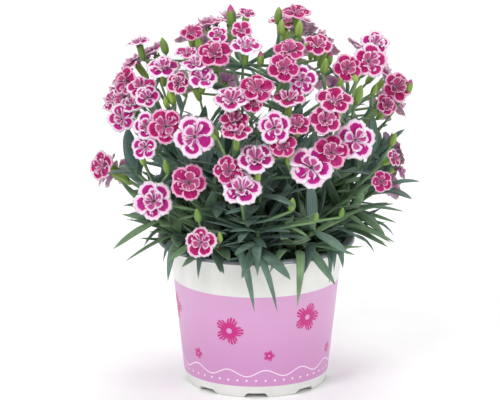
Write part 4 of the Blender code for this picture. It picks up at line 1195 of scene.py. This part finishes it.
# Each shape is picked, turned and sized as its point says
def placeTree():
    tree, source = newTree("placedShapes", Shapes="Collection")
    shape = addNode(tree, "GeometryNodeInputNamedAttribute", {"Name": "shape"}, data_type="INT")
    turn, size = [addNode(tree, "GeometryNodeInputNamedAttribute", {"Name": name}, data_type="FLOAT_VECTOR")
                  for name in ("turned", "sized")]
    return endShapes(tree, source, source["Geometry"], turn, {"Instance Index": shape, "Scale": size})


# Crumbs strewn over a surface, at any turn
def crumbTree():
    tree, source = newTree("strewnCrumbs", Shapes="Collection", Density="Float", Smallest="Float",
                           Largest="Float", Seed="Int")
    seed = source["Seed"]
    spread = {"Mesh": source["Geometry"], "Density": source["Density"], "Seed": seed}
    points = addNode(tree, "GeometryNodeDistributePointsOnFaces", spread)
    turns = {"Max": (math.tau, math.tau, math.tau), "Seed": seed}
    turn = addNode(tree, "FunctionNodeRandomValue", turns, data_type="FLOAT_VECTOR")
    sizes = {2: source["Smallest"], 3: source["Largest"], "Seed": seed}
    size = addNode(tree, "FunctionNodeRandomValue", sizes, data_type="FLOAT")
    return endShapes(tree, source, points, turn, {"Scale": size})


def meshObject(name, points, faces, edges=(), pointValues=None, faceValues=None):
    mesh = bpy.data.meshes.new(name)
    mesh.from_pydata(points, list(edges), faces)
    for group, domain in ((pointValues, "POINT"), (faceValues, "FACE")):
        for label, values in (group or {}).items():
            kind = {int: "INT", float: "FLOAT"}.get(type(values[0]), "FLOAT_VECTOR")
            layer = mesh.attributes.new(label, kind, domain)
            if kind == "FLOAT_VECTOR":
                layer.data.foreach_set("vector", [c for v in values for c in v])
            else:
                layer.data.foreach_set("value", values)
    return addToScene(name, mesh)


def addToScene(name, data):
    item = bpy.data.objects.new(name, data)
    bpy.context.scene.collection.objects.link(item)
    return item


def shapeCollection(name, items):
    collection = bpy.data.collections.new(name)
    for item in items:
        for old in list(item.users_collection):
            old.objects.unlink(item)
        collection.objects.link(item)
    return collection


# Puts the mesh that an object's modifiers make in their place
def makePlain(item):
    depsgraph = bpy.context.evaluated_depsgraph_get()
    mesh = bpy.data.meshes.new_from_object(item.evaluated_get(depsgraph), depsgraph=depsgraph)
    item.modifiers.clear()
    item.data = mesh


# Runs a tree on an object and leaves the plain mesh that it makes
def grow(item, tree, **values):
    modifier = item.modifiers.new(tree.name, "NODES")
    modifier.node_group = tree
    for socket in tree.interface.items_tree:
        if socket.item_type == "SOCKET" and socket.in_out == "INPUT" and socket.name in values:
            modifier[socket.identifier] = values[socket.name]
    makePlain(item)
    return item


def dropObject(item):
    bpy.data.objects.remove(item, do_unlink=True)


def joined(name, items):
    with bpy.context.temp_override(active_object=items[0], selected_editable_objects=items):
        bpy.ops.object.join()
    items[0].name = name
    items[0].data.name = name
    return items[0]


growStems = stemTree()
growLeaves = leafTree()
placeShapes = placeTree()
strewCrumbs = crumbTree()
looks = random.Random(31)


# The pot: one turned wall, cut by the notches between its feet and its drain holes, with its edges eased
def potProfile():
    top, wall, rim, collar = pot["height"], pot["wall"], pot["rimRadius"], pot["collarTopRadius"]
    band, bottom, foot = pot["bandTopRadius"], pot["bandBottomRadius"], pot["footRadius"]
    bandTop, bandBottom, under = pot["bandTop"], pot["bandBottom"], pot["floorUnderside"]
    floor, underRim, footInside = under + wall, top - pot["rimDepth"], foot - pot["footWidth"]
    return [
        (0, floor), (bottom - wall - 4, floor), (bottom - wall - 1.2, floor + 1.6),
        (bottom - wall, bandBottom + 1.5), (band - wall, bandTop), (collar - wall, underRim),
        (collar + 0.2, top - 1.6), (collar + 0.9, top - 0.5), (collar + 2.4, top), (rim - 2.2, top),
        (rim - 0.8, top - 0.4), (rim - 0.15, top - 1.3), (rim, top - 2.2), (rim, underRim + 0.8),
        (rim - 0.35, underRim + 0.2), (rim - 1.0, underRim), (rim - 1.5, underRim + 0.6),
        (collar + 0.9, underRim + 0.7), (collar + 0.2, underRim + 0.2), (collar - 0.1, underRim - 0.6),
        (band + 0.25, bandTop + 0.5), (band, bandTop - 0.1), (bottom + 0.05, bandBottom + 0.5),
        (bottom - 0.3, bandBottom - 0.3), (foot + 2.4, 2.6), (foot + 0.9, 0.5), (foot + 0.3, 0.0),
        (footInside + 0.3, 0.0), (footInside, 0.5), (footInside - 0.6, under), (0, under),
    ]


def turnedMesh(profile, steps):
    points = [Vector((0, 0, profile[0][1]))]
    faces = []
    rings = profile[1:-1]
    for radius, height in rings:
        for k in range(steps):
            turn = math.tau * k / steps
            points.append(Vector((radius * math.cos(turn), radius * math.sin(turn), height)))
    points.append(Vector((0, 0, profile[-1][1])))
    for k in range(steps):
        j = (k + 1) % steps
        faces.append((0, 1 + k, 1 + j))
        for row in range(len(rings) - 1):
            low = 1 + row * steps
            faces.append((low + k, low + steps + k, low + steps + j, low + j))
        last = 1 + (len(rings) - 1) * steps
        faces.append((last + k, len(points) - 1, last + j))
    return [p * mm for p in points], faces


# A solid between two like outlines, which cuts the pot
def prism(name, ends):
    count = len(ends[0])
    faces = [tuple(reversed(range(count))), tuple(range(count, 2 * count))]
    faces += [(i, (i + 1) % count, count + (i + 1) % count, count + i) for i in range(count)]
    return meshObject(name, [p * mm for end in ends for p in end], faces)


def notchTool(angle):
    half, top = pot["notchWidth"] / 2, pot["notchHeight"]
    outline = [(-half - 3.4, -2.0), (-half - 1.6, 0.2), (-half - 0.2, top - 0.9), (-half + 1.0, top),
               (half - 1.0, top), (half + 0.2, top - 0.9), (half + 1.6, 0.2), (half + 3.4, -2.0)]
    place = Matrix.Rotation(angle, 4, "Z") @ Matrix.Translation((pot["footRadius"], 0, 0))
    return prism("notch", [[place @ Vector((depth, *spot)) for spot in outline] for depth in (-8, 8)])


def drainTool(angle):
    centre = Vector((pot["drainRing"] * math.cos(angle), pot["drainRing"] * math.sin(angle), 0))
    turns = [math.tau * k / pot["drainSteps"] for k in range(pot["drainSteps"])]
    ring = [centre + Vector((math.cos(turn), math.sin(turn), 0)) * pot["drainRadius"] for turn in turns]
    return prism("drain", [[p + Vector((0, 0, height)) for p in ring] for height in (-1, 9)])


def makePot():
    points, faces = turnedMesh(potProfile(), pot["steps"])
    item = meshObject("growingPot", points, faces)
    front = math.radians(-90)
    tools = [notchTool(front + i * math.tau / pot["feet"]) for i in range(pot["feet"])]
    tools += [drainTool(front + i * math.tau / pot["drainHoles"]) for i in range(pot["drainHoles"])]
    for tool in tools + [item]:
        bm = bmesh.new()
        bm.from_mesh(tool.data)
        bmesh.ops.recalc_face_normals(bm, faces=bm.faces)
        bm.to_mesh(tool.data)
        bm.free()
    cut = item.modifiers.new("cuts", "BOOLEAN")
    cut.operation = "DIFFERENCE"
    cut.operand_type = "COLLECTION"
    cut.collection = shapeCollection("potTools", tools)
    cut.solver = "EXACT"
    makePlain(item)
    for tool in tools:
        dropObject(tool)
    mesh = item.data
    mesh.materials.clear()
    mesh.materials.append(whitePlastic)
    mesh.materials.append(greyPlastic)
    for face in mesh.polygons:
        up = face.center.z / mm
        outward = flat(face.center).normalized().dot(face.normal)
        inside = up > pot["floorUnderside"] * 1.2 and (outward < -0.2 or face.normal.z > 0.8)
        face.material_index = 1 if inside or up > pot["height"] - pot["greyDepth"] else 0
    mesh.shade_smooth()
    mesh.set_sharp_from_angle(angle=math.radians(pot["sharpFrom"]))
    return item


growingPot = makePot()
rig.ride(growingPot, "root")
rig.replaces(growingPot, "pot")
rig.slot(growingPot, "pot_plastic")
print("pot made,", len(growingPot.data.polygons), "faces")


# Soil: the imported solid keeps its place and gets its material, and crumbs are strewn on its top
def lump(name, seed):
    bm = bmesh.new()
    bmesh.ops.create_icosphere(bm, subdivisions=1, radius=1.0)
    shape = random.Random(seed)
    for vert in bm.verts:
        vert.co *= shape.uniform(0.65, 1.1)
        vert.co.z *= 0.7
    mesh = bpy.data.meshes.new(name)
    bm.to_mesh(mesh)
    bm.free()
    return addToScene(name, mesh)


def makeCrumbs():
    steps, rings = 48, 6
    edge = pot["bandTopRadius"] + 1.0
    points = [Vector((0, 0, (soil["top"] + soil["crown"] + 0.1) * mm))]
    for ring in range(1, rings + 1):
        share = ring / rings
        height = soil["top"] + soil["crown"] * (1 - share ** 2) + 0.1
        for k in range(steps):
            turn = math.tau * k / steps
            points.append(Vector((edge * share * math.cos(turn), edge * share * math.sin(turn), height)) * mm)
    faces = [(0, 1 + k, 1 + (k + 1) % steps) for k in range(steps)]
    for ring in range(rings - 1):
        low = 1 + ring * steps
        faces += [(low + k, low + steps + k, low + steps + (k + 1) % steps, low + (k + 1) % steps)
                  for k in range(steps)]
    item = meshObject("soilCrumbs", points, faces)
    lumps = [lump(f"lump{n}", n) for n in range(4)]
    area = math.pi * (edge * mm) ** 2
    size = soil["crumbSize"] * mm
    grow(item, strewCrumbs, Shapes=shapeCollection("lumps", lumps), Density=soil["crumbs"] / area,
         Smallest=size * 0.3, Largest=size, Seed=soil["seed"], Material=peat)
    for one in lumps:
        dropObject(one)
    return item


soilNode = frame["nodes"]["soil"]
soilNode.data.materials.clear()
soilNode.data.materials.append(peat)
soilCrumbs = makeCrumbs()
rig.ride(soilCrumbs, "root")
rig.slot(soilCrumbs, "potting_soil")
print("soil made,", len(soilCrumbs.data.polygons), "crumb faces")


# Greens: stems, calyxes, buds and leaves of each clump, one piece for each
greens = {
    "stemSides": 7, "easing": 0.18, "pathStep": 7, "swelling": 1.45, "swellingLong": 2.2,
    "stalkJoints": (0.3, 0.52, 0.74), "shootJoints": (0.2, 0.45, 0.7), "stalkEnds": (1.15, 0.85),
    "shootEnds": (1.0, 0.7), "broader": 1.3, "farthest": 90.0, "leafSides": 8, "leafPoints": 11, "fold": 0.2,
    "thickness": 0.11, "thinnest": 0.06, "calyxLonger": 1.06, "budRadius": 0.22,
}
# The leaves that are added: where their pairs stand on a shoot and a stalk, and how long and wide they are
extra = {
    "shootPairs": (0.12, 0.34, 0.56, 0.78, 0.93), "stalkPairs": (0.08, 0.22, 0.36, 0.52, 0.68),
    "lowStalk": 95, "branchPair": 0.45, "long": 40.0, "stemLong": 24.0, "stemWide": 3.4, "end": 205.0,
    "fading": 50, "smallest": 0.25, "tries": 5, "clear": 0.5,
}
# Fresh yellow-green rosettes, seen from the front
young = {"spots": ((20, 92), (58, 104), (-30, 104), (44, 118), (-52, 96)), "within": 15.0, "depth": 20}
anySide = Vector((1, 0, 0))


def tapered(low, high, share):
    return low + (high - low) * share


# The path of a stem through its stations, its corners eased, as points with a share of its length
def easedPath(path):
    points = [path[0]]
    for i in range(1, len(path) - 1):
        before = path[i] + (path[i - 1] - path[i]) * greens["easing"]
        after = path[i] + (path[i + 1] - path[i]) * greens["easing"]
        points += [before, (before + after) / 4 + path[i] / 2, after]
    points.append(path[-1])
    full = []
    for start, end in zip(points, points[1:]):
        count = max(1, int((end - start).length / greens["pathStep"]))
        full += [start + (end - start) * k / count for k in range(count)]
    return full + [points[-1]]


def stemLine(item):
    path = easedPath(item.path)
    lengths = [0.0]
    for start, end in zip(path, path[1:]):
        lengths.append(lengths[-1] + (end - start).length)
    kind = "shoot" if item.kind == "shoot" else "stalk"
    radius = foliage["shootRadius"] if kind == "shoot" else stem["radius"]
    low, high = [radius * part for part in greens[kind + "Ends"]]
    rows = []
    for point, length in zip(path, lengths):
        share = length / lengths[-1]
        thick = tapered(low, high, share)
        for joint in greens[kind + "Joints"]:
            near = abs(length - joint * lengths[-1])
            thick *= 1 + (greens["swelling"] - 1) * math.exp(-(near / greens["swellingLong"]) ** 2)
        rows.append((point, thick, share, anySide))
    return rows


# Lines become one mesh of loose edges with attributes at their points
def linesObject(name, lines):
    points, edges = [], []
    sets = {"thick": [], "along": [], "tone": [], "side": []}
    for line, tone in lines:
        start = len(points)
        for point, thick, share, side in line:
            points.append(point * mm)
            sets["side"].append(side)
            sets["thick"].append(float(thick * mm))
            sets["along"].append(float(share))
            sets["tone"].append(float(tone))
        edges += [(start + i, start + i + 1) for i in range(len(line) - 1)]
    return meshObject(name, points, [], edges, sets)


# How wide a leaf is along it: its share at the root, its growth from there, and how its tip draws in
leafOutline = {"blade": (0.6, 1.6, 5, 0.9), "leaf": (0.46, 1.5, 4.6, 0.95)}


def leafWidth(share, kind):
    root, growth, late, blunt = leafOutline[kind]
    return min(1.0, root + growth * share) * (1 - share ** late) ** blunt


def leafLine(item):
    rows = []
    across = (item.tip - item.root).cross(Vector((0, 0, 1)))
    if across.length < 4:
        across = Vector((0.1 - item.root.y, item.root.x, 0))
    across.normalize()
    wide = item.wide * greens["broader"]
    for k in range(greens["leafPoints"]):
        share = k / (greens["leafPoints"] - 1)
        rest = 1 - share
        point = item.root * rest ** 2 + item.middle * 2 * share * rest + item.tip * share ** 2
        ahead = ((item.middle - item.root) * rest + (item.tip - item.middle) * share).normalized()
        side = (across - ahead * across.dot(ahead)).normalized()
        rows.append((point, max(greens["thinnest"], leafWidth(share, item.kind) * wide / 2), share, side))
    return rows


# Calyx and bud shapes: a unit long tube along Z with ribs, and pointed teeth or a closed tip
def tubeShape(name, rows, sides, teeth):
    points, faces, along, ribs = [], [], [], []
    for place, radius in rows:
        for k in range(sides):
            turn = math.tau * k / sides
            rib = 0.5 + 0.5 * math.cos(turn * petals)
            lift = place + (0.14 * rib - 0.05 if teeth and place > 0.9 else 0)
            reach = radius * (1 + 0.05 * rib)
            points.append(Vector((reach * math.cos(turn), reach * math.sin(turn), lift)))
            along.append(float(place))
            # How deep in a groove between two ribs the point lies, for the painted shade there
            ribs.append(float(1 - rib))
    faces.append(tuple(reversed(range(sides))))
    for row in range(len(rows) - 1):
        low = row * sides
        faces += [(low + k, low + (k + 1) % sides, low + sides + (k + 1) % sides, low + sides + k)
                  for k in range(sides)]
    last = (len(rows) - 1) * sides
    faces.append(tuple(range(last, last + sides)))
    return meshObject(name, points, faces, (), {"along": along, "across": ribs})


tubeSides = 10
calyxRows = (
    (0.0, 0.42), (0.07, 0.62), (0.16, 0.85), (0.35, 0.97), (0.6, 1.0), (0.82, 0.98), (0.96, 1.06),
    (0.9, 0.86),
)
budRows = (
    (0.0, 0.34), (0.06, 0.62), (0.14, 0.84), (0.32, 1.0), (0.52, 0.98), (0.7, 0.8), (0.86, 0.48),
    (0.97, 0.16), (1.0, 0.03),
)


def turnFor(direction, spin):
    return (direction.to_track_quat("Z", "Y").to_matrix() @ Matrix.Rotation(spin, 3, "Z")).to_euler()


def pointsObject(name, rows):
    points = [row["place"] * mm for row in rows]
    sets = {label: [row[label] for row in rows] for label in rows[0] if label != "place"}
    return meshObject(name, points, [], (), sets)


headShapes = [
    tubeShape("shape0calyx", calyxRows, tubeSides, True), tubeShape("shape1bud", budRows, tubeSides, False),
]
headCollection = shapeCollection("headShapes", headShapes)


def headRow(item):
    isBud = item.kind == "bud"
    long = item.long if isBud else item.long * greens["calyxLonger"]
    radius = item.long * greens["budRadius"] if isBud else stem["calyxRadius"]
    return {"place": item.path[-1], "turned": turnFor(item.along, looks.uniform(0, 6)),
            "sized": Vector((radius, radius, long)) * mm, "shape": int(isBud),
            "tone": looks.uniform(0.0, 1.0), "pink": float(item.pink)}


# Blooms and the pot, which the leaves that are added here keep clear of
firm = Space()
for item in placed:
    firm.add(item.owner, item.shape)
firm.items += [entry for entry in space.items if entry[0] in ("pot", "soil")]


# More leaves among the ones of the solids: in the mass low down, and small pairs at the joints of the stalks
def fillingLeaves(owner):
    made = []
    for item in stems:
        if item.owner != owner:
            continue
        if item.kind == "shoot":
            for share in extra["shootPairs"]:
                made += leafPair(item, share, extra["long"], foliage["wide"] * 0.85, 1.0)
        elif item.path[0].z < extra["lowStalk"]:
            for share in extra["stalkPairs"]:
                high = share / extra["stalkPairs"][-1]
                wide = tapered(foliage["wide"] * 0.8, extra["stemWide"], high)
                made += leafPair(item, share, tapered(extra["long"], extra["stemLong"], high), wide, 1.5)
        else:
            made += leafPair(item, extra["branchPair"], extra["stemLong"], extra["stemWide"], 1.9)
    return made


def leafPair(item, share, long, wide, upright):
    runs = stem["shares"] if len(item.path) == 4 else stem["branchShares"]
    k = next(k for k in range(len(runs) - 1) if share <= runs[k + 1])
    part = (share - runs[k]) / (runs[k + 1] - runs[k])
    node = item.path[k] * (1 - part) + item.path[k + 1] * part
    axis = (item.path[k + 1] - item.path[k]).normalized()
    side = Matrix.Rotation(looks.uniform(0, math.tau), 3, axis) @ axis.orthogonal().normalized()
    made = []
    small = min(1.0, max(0.0, (extra["end"] - node.z) / extra["fading"]))
    if small < extra["smallest"]:
        return made
    long, wide = long * small, wide * (0.4 + 0.6 * small)
    for out in (side, -side):
        for _ in range(extra["tries"]):
            heading = (axis * upright * looks.uniform(0.7, 1.3) + out).normalized()
            length = long * looks.uniform(0.75, 1.2)
            sag = Vector((0, 0, looks.uniform(0.05, 0.25) * length))
            tip = node + heading * length + out * length * 0.15 - sag
            middle = node + heading * length * 0.5
            wider = wide * looks.uniform(0.85, 1.2)
            if flat(tip).length > greens["farthest"]:
                continue
            if not firm.meets(leaf(node, middle, tip, wider, foliage["stations"], extra["clear"])):
                made.append(Leaf(item.owner, node, middle, tip, wider, "leaf"))
                break
    return made


def toneOf(item):
    up = item.root.z * math.cos(view["tilt"]) + item.root.y * math.sin(view["tilt"])
    near = min(math.hypot(item.root.x - x, up - y) for x, y in young["spots"])
    fresh = near < young["within"] and item.root.y < young["depth"]
    return looks.uniform(0.72, 1.0) if fresh else looks.uniform(0.0, 0.66)


# What a clump's crown shows: how high its stations are, how wide, and how far along its colour they are
crownStations = ((-crown["sunk"], 1.0, 0.0), (crown["top"] * 0.4, 0.92, 0.02), (crown["top"], 0.55, 0.04))


def makeGreens(number):
    owner, name = crownName(number), f"greens_{number + 1:02d}"
    mine = [item for item in stems if item.owner == owner]
    lines = [(stemLine(item), looks.uniform(0, 1)) for item in mine]
    lines.append(([(crowns[number] + Vector((0, 0, up)), crown["radius"] * part, share, anySide)
                   for up, part, share in crownStations], 0.5))
    parts = [grow(linesObject(name, lines), growStems, Sides=greens["stemSides"], Material=stemSkin)]
    blades = [item for item in leaves if item.owner == owner] + fillingLeaves(owner)
    blades = linesObject(f"{name}Leaves", [(leafLine(item), toneOf(item)) for item in blades])
    parts.append(grow(blades, growLeaves, Sides=greens["leafSides"], Fold=greens["fold"],
                      Thickness=greens["thickness"], Material=leafSkin))
    heads = [headRow(item) for item in mine if item.kind != "shoot"]
    if heads:
        heads = pointsObject(f"{name}Heads", heads)
        parts.append(grow(heads, placeShapes, Shapes=headCollection, Material=calyxSkin))
    return joined(name, parts)


faceCount = 0
for number in range(len(crowns)):
    greenPiece = makeGreens(number)
    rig.ride(greenPiece, "root")
    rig.replaces(greenPiece, crownName(number))
    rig.slot(greenPiece, "leaf")
    faceCount += len(greenPiece.data.polygons)
for item in headShapes:
    dropObject(item)
print("greens made,", faceCount, "faces")


# Blooms: petal shapes with their blade in rows from the claw to a toothed edge, a top and an underside
flower = {
    "columns": 10, "rows": (0.0, 0.2, 0.42, 0.64, 0.84, 1.0), "claw": 0.06, "thick": 0.014, "tooth": 0.055,
    "innerCount": (5, 7), "smallWide": 15, "smallCount": 3, "grown": 1.02, "paler": 0.08,
}
# The two kinds of petal, in units of the bloom's radius
petalKinds = {
    "outer": {
        "count": 6, "seed": 50, "reach": 1.0, "fan": 43.0, "ruffle": 0.05, "cupped": 0.04, "inner": 0.0,
    },
    "inner": {
        "count": 5, "seed": 80, "reach": 0.62, "fan": 40.85, "ruffle": 0.1, "cupped": 0.12, "inner": 1.0,
    },
}


def petalLift(share, kind):
    if kind == "inner":
        return -0.12 + 0.85 * share - 0.18 * share ** 3
    return -0.20 + 0.34 * min(1.0, share * 2.6) - 0.10 * max(0.0, share - 0.45) ** 2 * 3


def petalGrid(kind, seed):
    shape = random.Random(seed)
    sizes = petalKinds[kind]
    reach, columns = sizes["reach"], flower["columns"]
    phase, waves = shape.uniform(0, 6), shape.uniform(2.2, 3.4)
    lean = shape.uniform(-0.10, 0.10)
    grid = []
    for share in flower["rows"]:
        line = []
        for c in range(columns + 1):
            side = 2 * c / columns - 1
            tooth = 0.0
            if share == 1.0:
                tooth = flower["tooth"] * (shape.uniform(0.0, 0.5) if c % 2 else -shape.uniform(0.4, 1.0))
            angle = math.radians(sizes["fan"]) * side * (0.55 + 0.45 * min(1.0, share * 1.6))
            length = reach * (1 - 0.26 * abs(side) ** 2.6) * (1 + tooth)
            radius = flower["claw"] + (length - flower["claw"]) * share
            rise = petalLift(share, kind) * reach + sizes["cupped"] * reach * share * side ** 2
            ruffle = sizes["ruffle"] * share ** 2 * math.sin(phase + waves * side * 2 + share * 2)
            rise += ruffle + lean * share * side
            line.append((Vector((radius * math.cos(angle), radius * math.sin(angle), rise)), share, side))
        grid.append(line)
    return grid


# The top and the underside share the points round the petal's edge
def petalShape(name, kind, seed):
    grid = petalGrid(kind, seed)
    last, columns = len(grid) - 1, flower["columns"]
    points, along, across, under, faces = [], [], [], [], []
    indices = {}
    for sign in (1, -1):
        for r, line in enumerate(grid):
            for c, (point, share, side) in enumerate(line):
                edge = r in (0, last) or c in (0, columns)
                if edge and sign < 0:
                    indices[sign, r, c] = indices[1, r, c]
                    continue
                indices[sign, r, c] = len(points)
                points.append(point + Vector((0, 0, 0 if edge else flower["thick"] * sign)))
                along.append(float(share))
                across.append(float(side))
        for r in range(last):
            for c in range(columns):
                face = [indices[sign, *spot] for spot in ((r, c), (r + 1, c), (r + 1, c + 1), (r, c + 1))]
                faces.append(face[::sign])
                under.append(0.0 if sign > 0 else 1.0)
    values = {"along": along, "across": across, "inner": [petalKinds[kind]["inner"]] * len(points)}
    return meshObject(name, points, faces, (), values, {"under": under})


def petalShapes():
    made = []
    for kind, sizes in petalKinds.items():
        for k in range(sizes["count"]):
            made.append(petalShape(f"shape{len(made):02d}{kind}", kind, sizes["seed"] + k))
    return made


def bloomRows(item):
    rows = []
    base = item.direction.to_track_quat("Z", "Y").to_matrix() @ Matrix.Rotation(item.spin, 3, "Z")
    radius = item.wide / 2 * flower["grown"]
    shift = math.pi / petals * 0.5
    outers, inners = petalKinds["outer"]["count"], petalKinds["inner"]["count"]
    for k in range(petals):
        turn = math.tau * k / petals + shift + looks.uniform(-0.09, 0.09)
        tip = looks.uniform(-0.06, 0.10) + (0.03 if k % 2 else 0)
        size = radius * looks.uniform(0.94, 1.04)
        rows.append(petalRow(item, base, turn, -tip, size, looks.randrange(outers)))
    inner = looks.randint(*flower["innerCount"]) if item.wide > flower["smallWide"] else flower["smallCount"]
    for k in range(inner):
        turn = math.tau * k / inner + looks.uniform(-0.3, 0.3)
        shape = outers + looks.randrange(inners)
        tip = looks.uniform(-0.35, 0.45)
        rows.append(petalRow(item, base, turn, tip, radius * looks.uniform(0.8, 1.02), shape))
    return rows


def petalRow(item, base, turn, tip, radius, shape):
    spin = base @ Matrix.Rotation(turn, 3, "Z") @ Matrix.Rotation(tip, 3, "Y")
    pale = item.pale + looks.uniform(-flower["paler"], flower["paler"])
    return {"place": item.centre, "turned": spin.to_euler(), "sized": Vector((radius, radius, radius)) * mm,
            "shape": shape, "pale": min(1.0, max(0.0, pale))}


petalItems = petalShapes()
petalCollection = shapeCollection("petalShapes", petalItems)
faceCount = 0
for owner in sorted({item.owner for item in placed}):
    rows = [row for item in placed if item.owner == owner for row in bloomRows(item)]
    bloomPiece = pointsObject(owner.replace("blooms", "petals"), rows)
    grow(bloomPiece, placeShapes, Shapes=petalCollection, Material=petalSkin)
    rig.ride(bloomPiece, "root")
    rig.replaces(bloomPiece, owner)
    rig.slot(bloomPiece, "petal")
    faceCount += len(bloomPiece.data.polygons)
for item in petalItems:
    dropObject(item)
print("blooms made,", faceCount, "faces")


# A plain pale table of matt paper, soft studio light from all round, and the camera
studio = {
    "table": 20.0, "world": 0.71, "goal": (0, 0, 0.12), "clipStart": 0.05, "clipEnd": 30.0,
    "lights": (
        ("keyBox", (-0.7, -1.1, 1.2), 0.7, 11), ("fillBox", (1.1, -0.8, 0.7), 0.9, 4),
        ("topBox", (0.1, 0.5, 1.5), 0.9, 8),
    ),
}


def makeStage():
    size = studio["table"]
    corners = [(-size, -size, 0), (size, -size, 0), (size, size, 0), (-size, size, 0)]
    floor = meshObject("paleTable", corners, [(0, 1, 2, 3)])
    material, tree, shader = newMaterial("matPaper")
    point = addNode(tree, "ShaderNodeTexCoord").outputs["Object"]
    grain = addNode(tree, "ShaderNodeTexNoise", {"Vector": point, "Scale": 30.0, **cloudy, "Detail": 2.0})
    feed(tree, shader, {
        "Base Color": paint(tree, "#FDFDFD", [((grain, 0.3, 0.7), "#FAFAFA")]), "Roughness": 0.9,
        "Specular IOR Level": 0.1,
    })
    floor.data.materials.append(material)
    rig.stage(floor)


def makeLight():
    world = bpy.data.worlds.new("softboxRoom")
    world.use_nodes = True
    tree = world.node_tree
    feed(tree, tree.nodes["Background"], {"Color": (1.0, 1.0, 1.0, 1.0), "Strength": studio["world"]})
    bpy.context.scene.world = world
    for name, place, size, watts in studio["lights"]:
        light = bpy.data.lights.new(name, "AREA")
        light.shape = "DISK"
        light.size = size
        light.energy = watts
        item = addToScene(name, light)
        item.location = place
        item.rotation_euler = (Vector(studio["goal"]) - Vector(place)).to_track_quat("-Z", "Y").to_euler()
    bpy.context.scene.view_settings.view_transform = "Standard"


def makeCamera():
    camera = bpy.data.cameras.new("studioCamera")
    camera.sensor_width = view["sensor"]
    camera.lens = view["sensor"] * view["distance"] / view["shows"]
    camera.clip_start = studio["clipStart"]
    camera.clip_end = studio["clipEnd"]
    item = addToScene("studioCamera", camera)
    away = Vector((0, math.cos(view["tilt"]), -math.sin(view["tilt"])))
    item.location = (Vector(view["aim"]) - away * view["distance"]) * mm
    item.rotation_euler = (math.pi / 2 - view["tilt"], 0, 0)
    bpy.context.scene.camera = item


makeStage()
makeLight()
makeCamera()
print("stage, light and camera made")

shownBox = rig.bounds()
sizes = {"cad": [list(corner) for corner in cadBox], "visual": [list(corner) for corner in shownBox]}
sizeFile = bpy.path.abspath("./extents.json")
with open(sizeFile, "w") as out:
    json.dump(sizes, out)
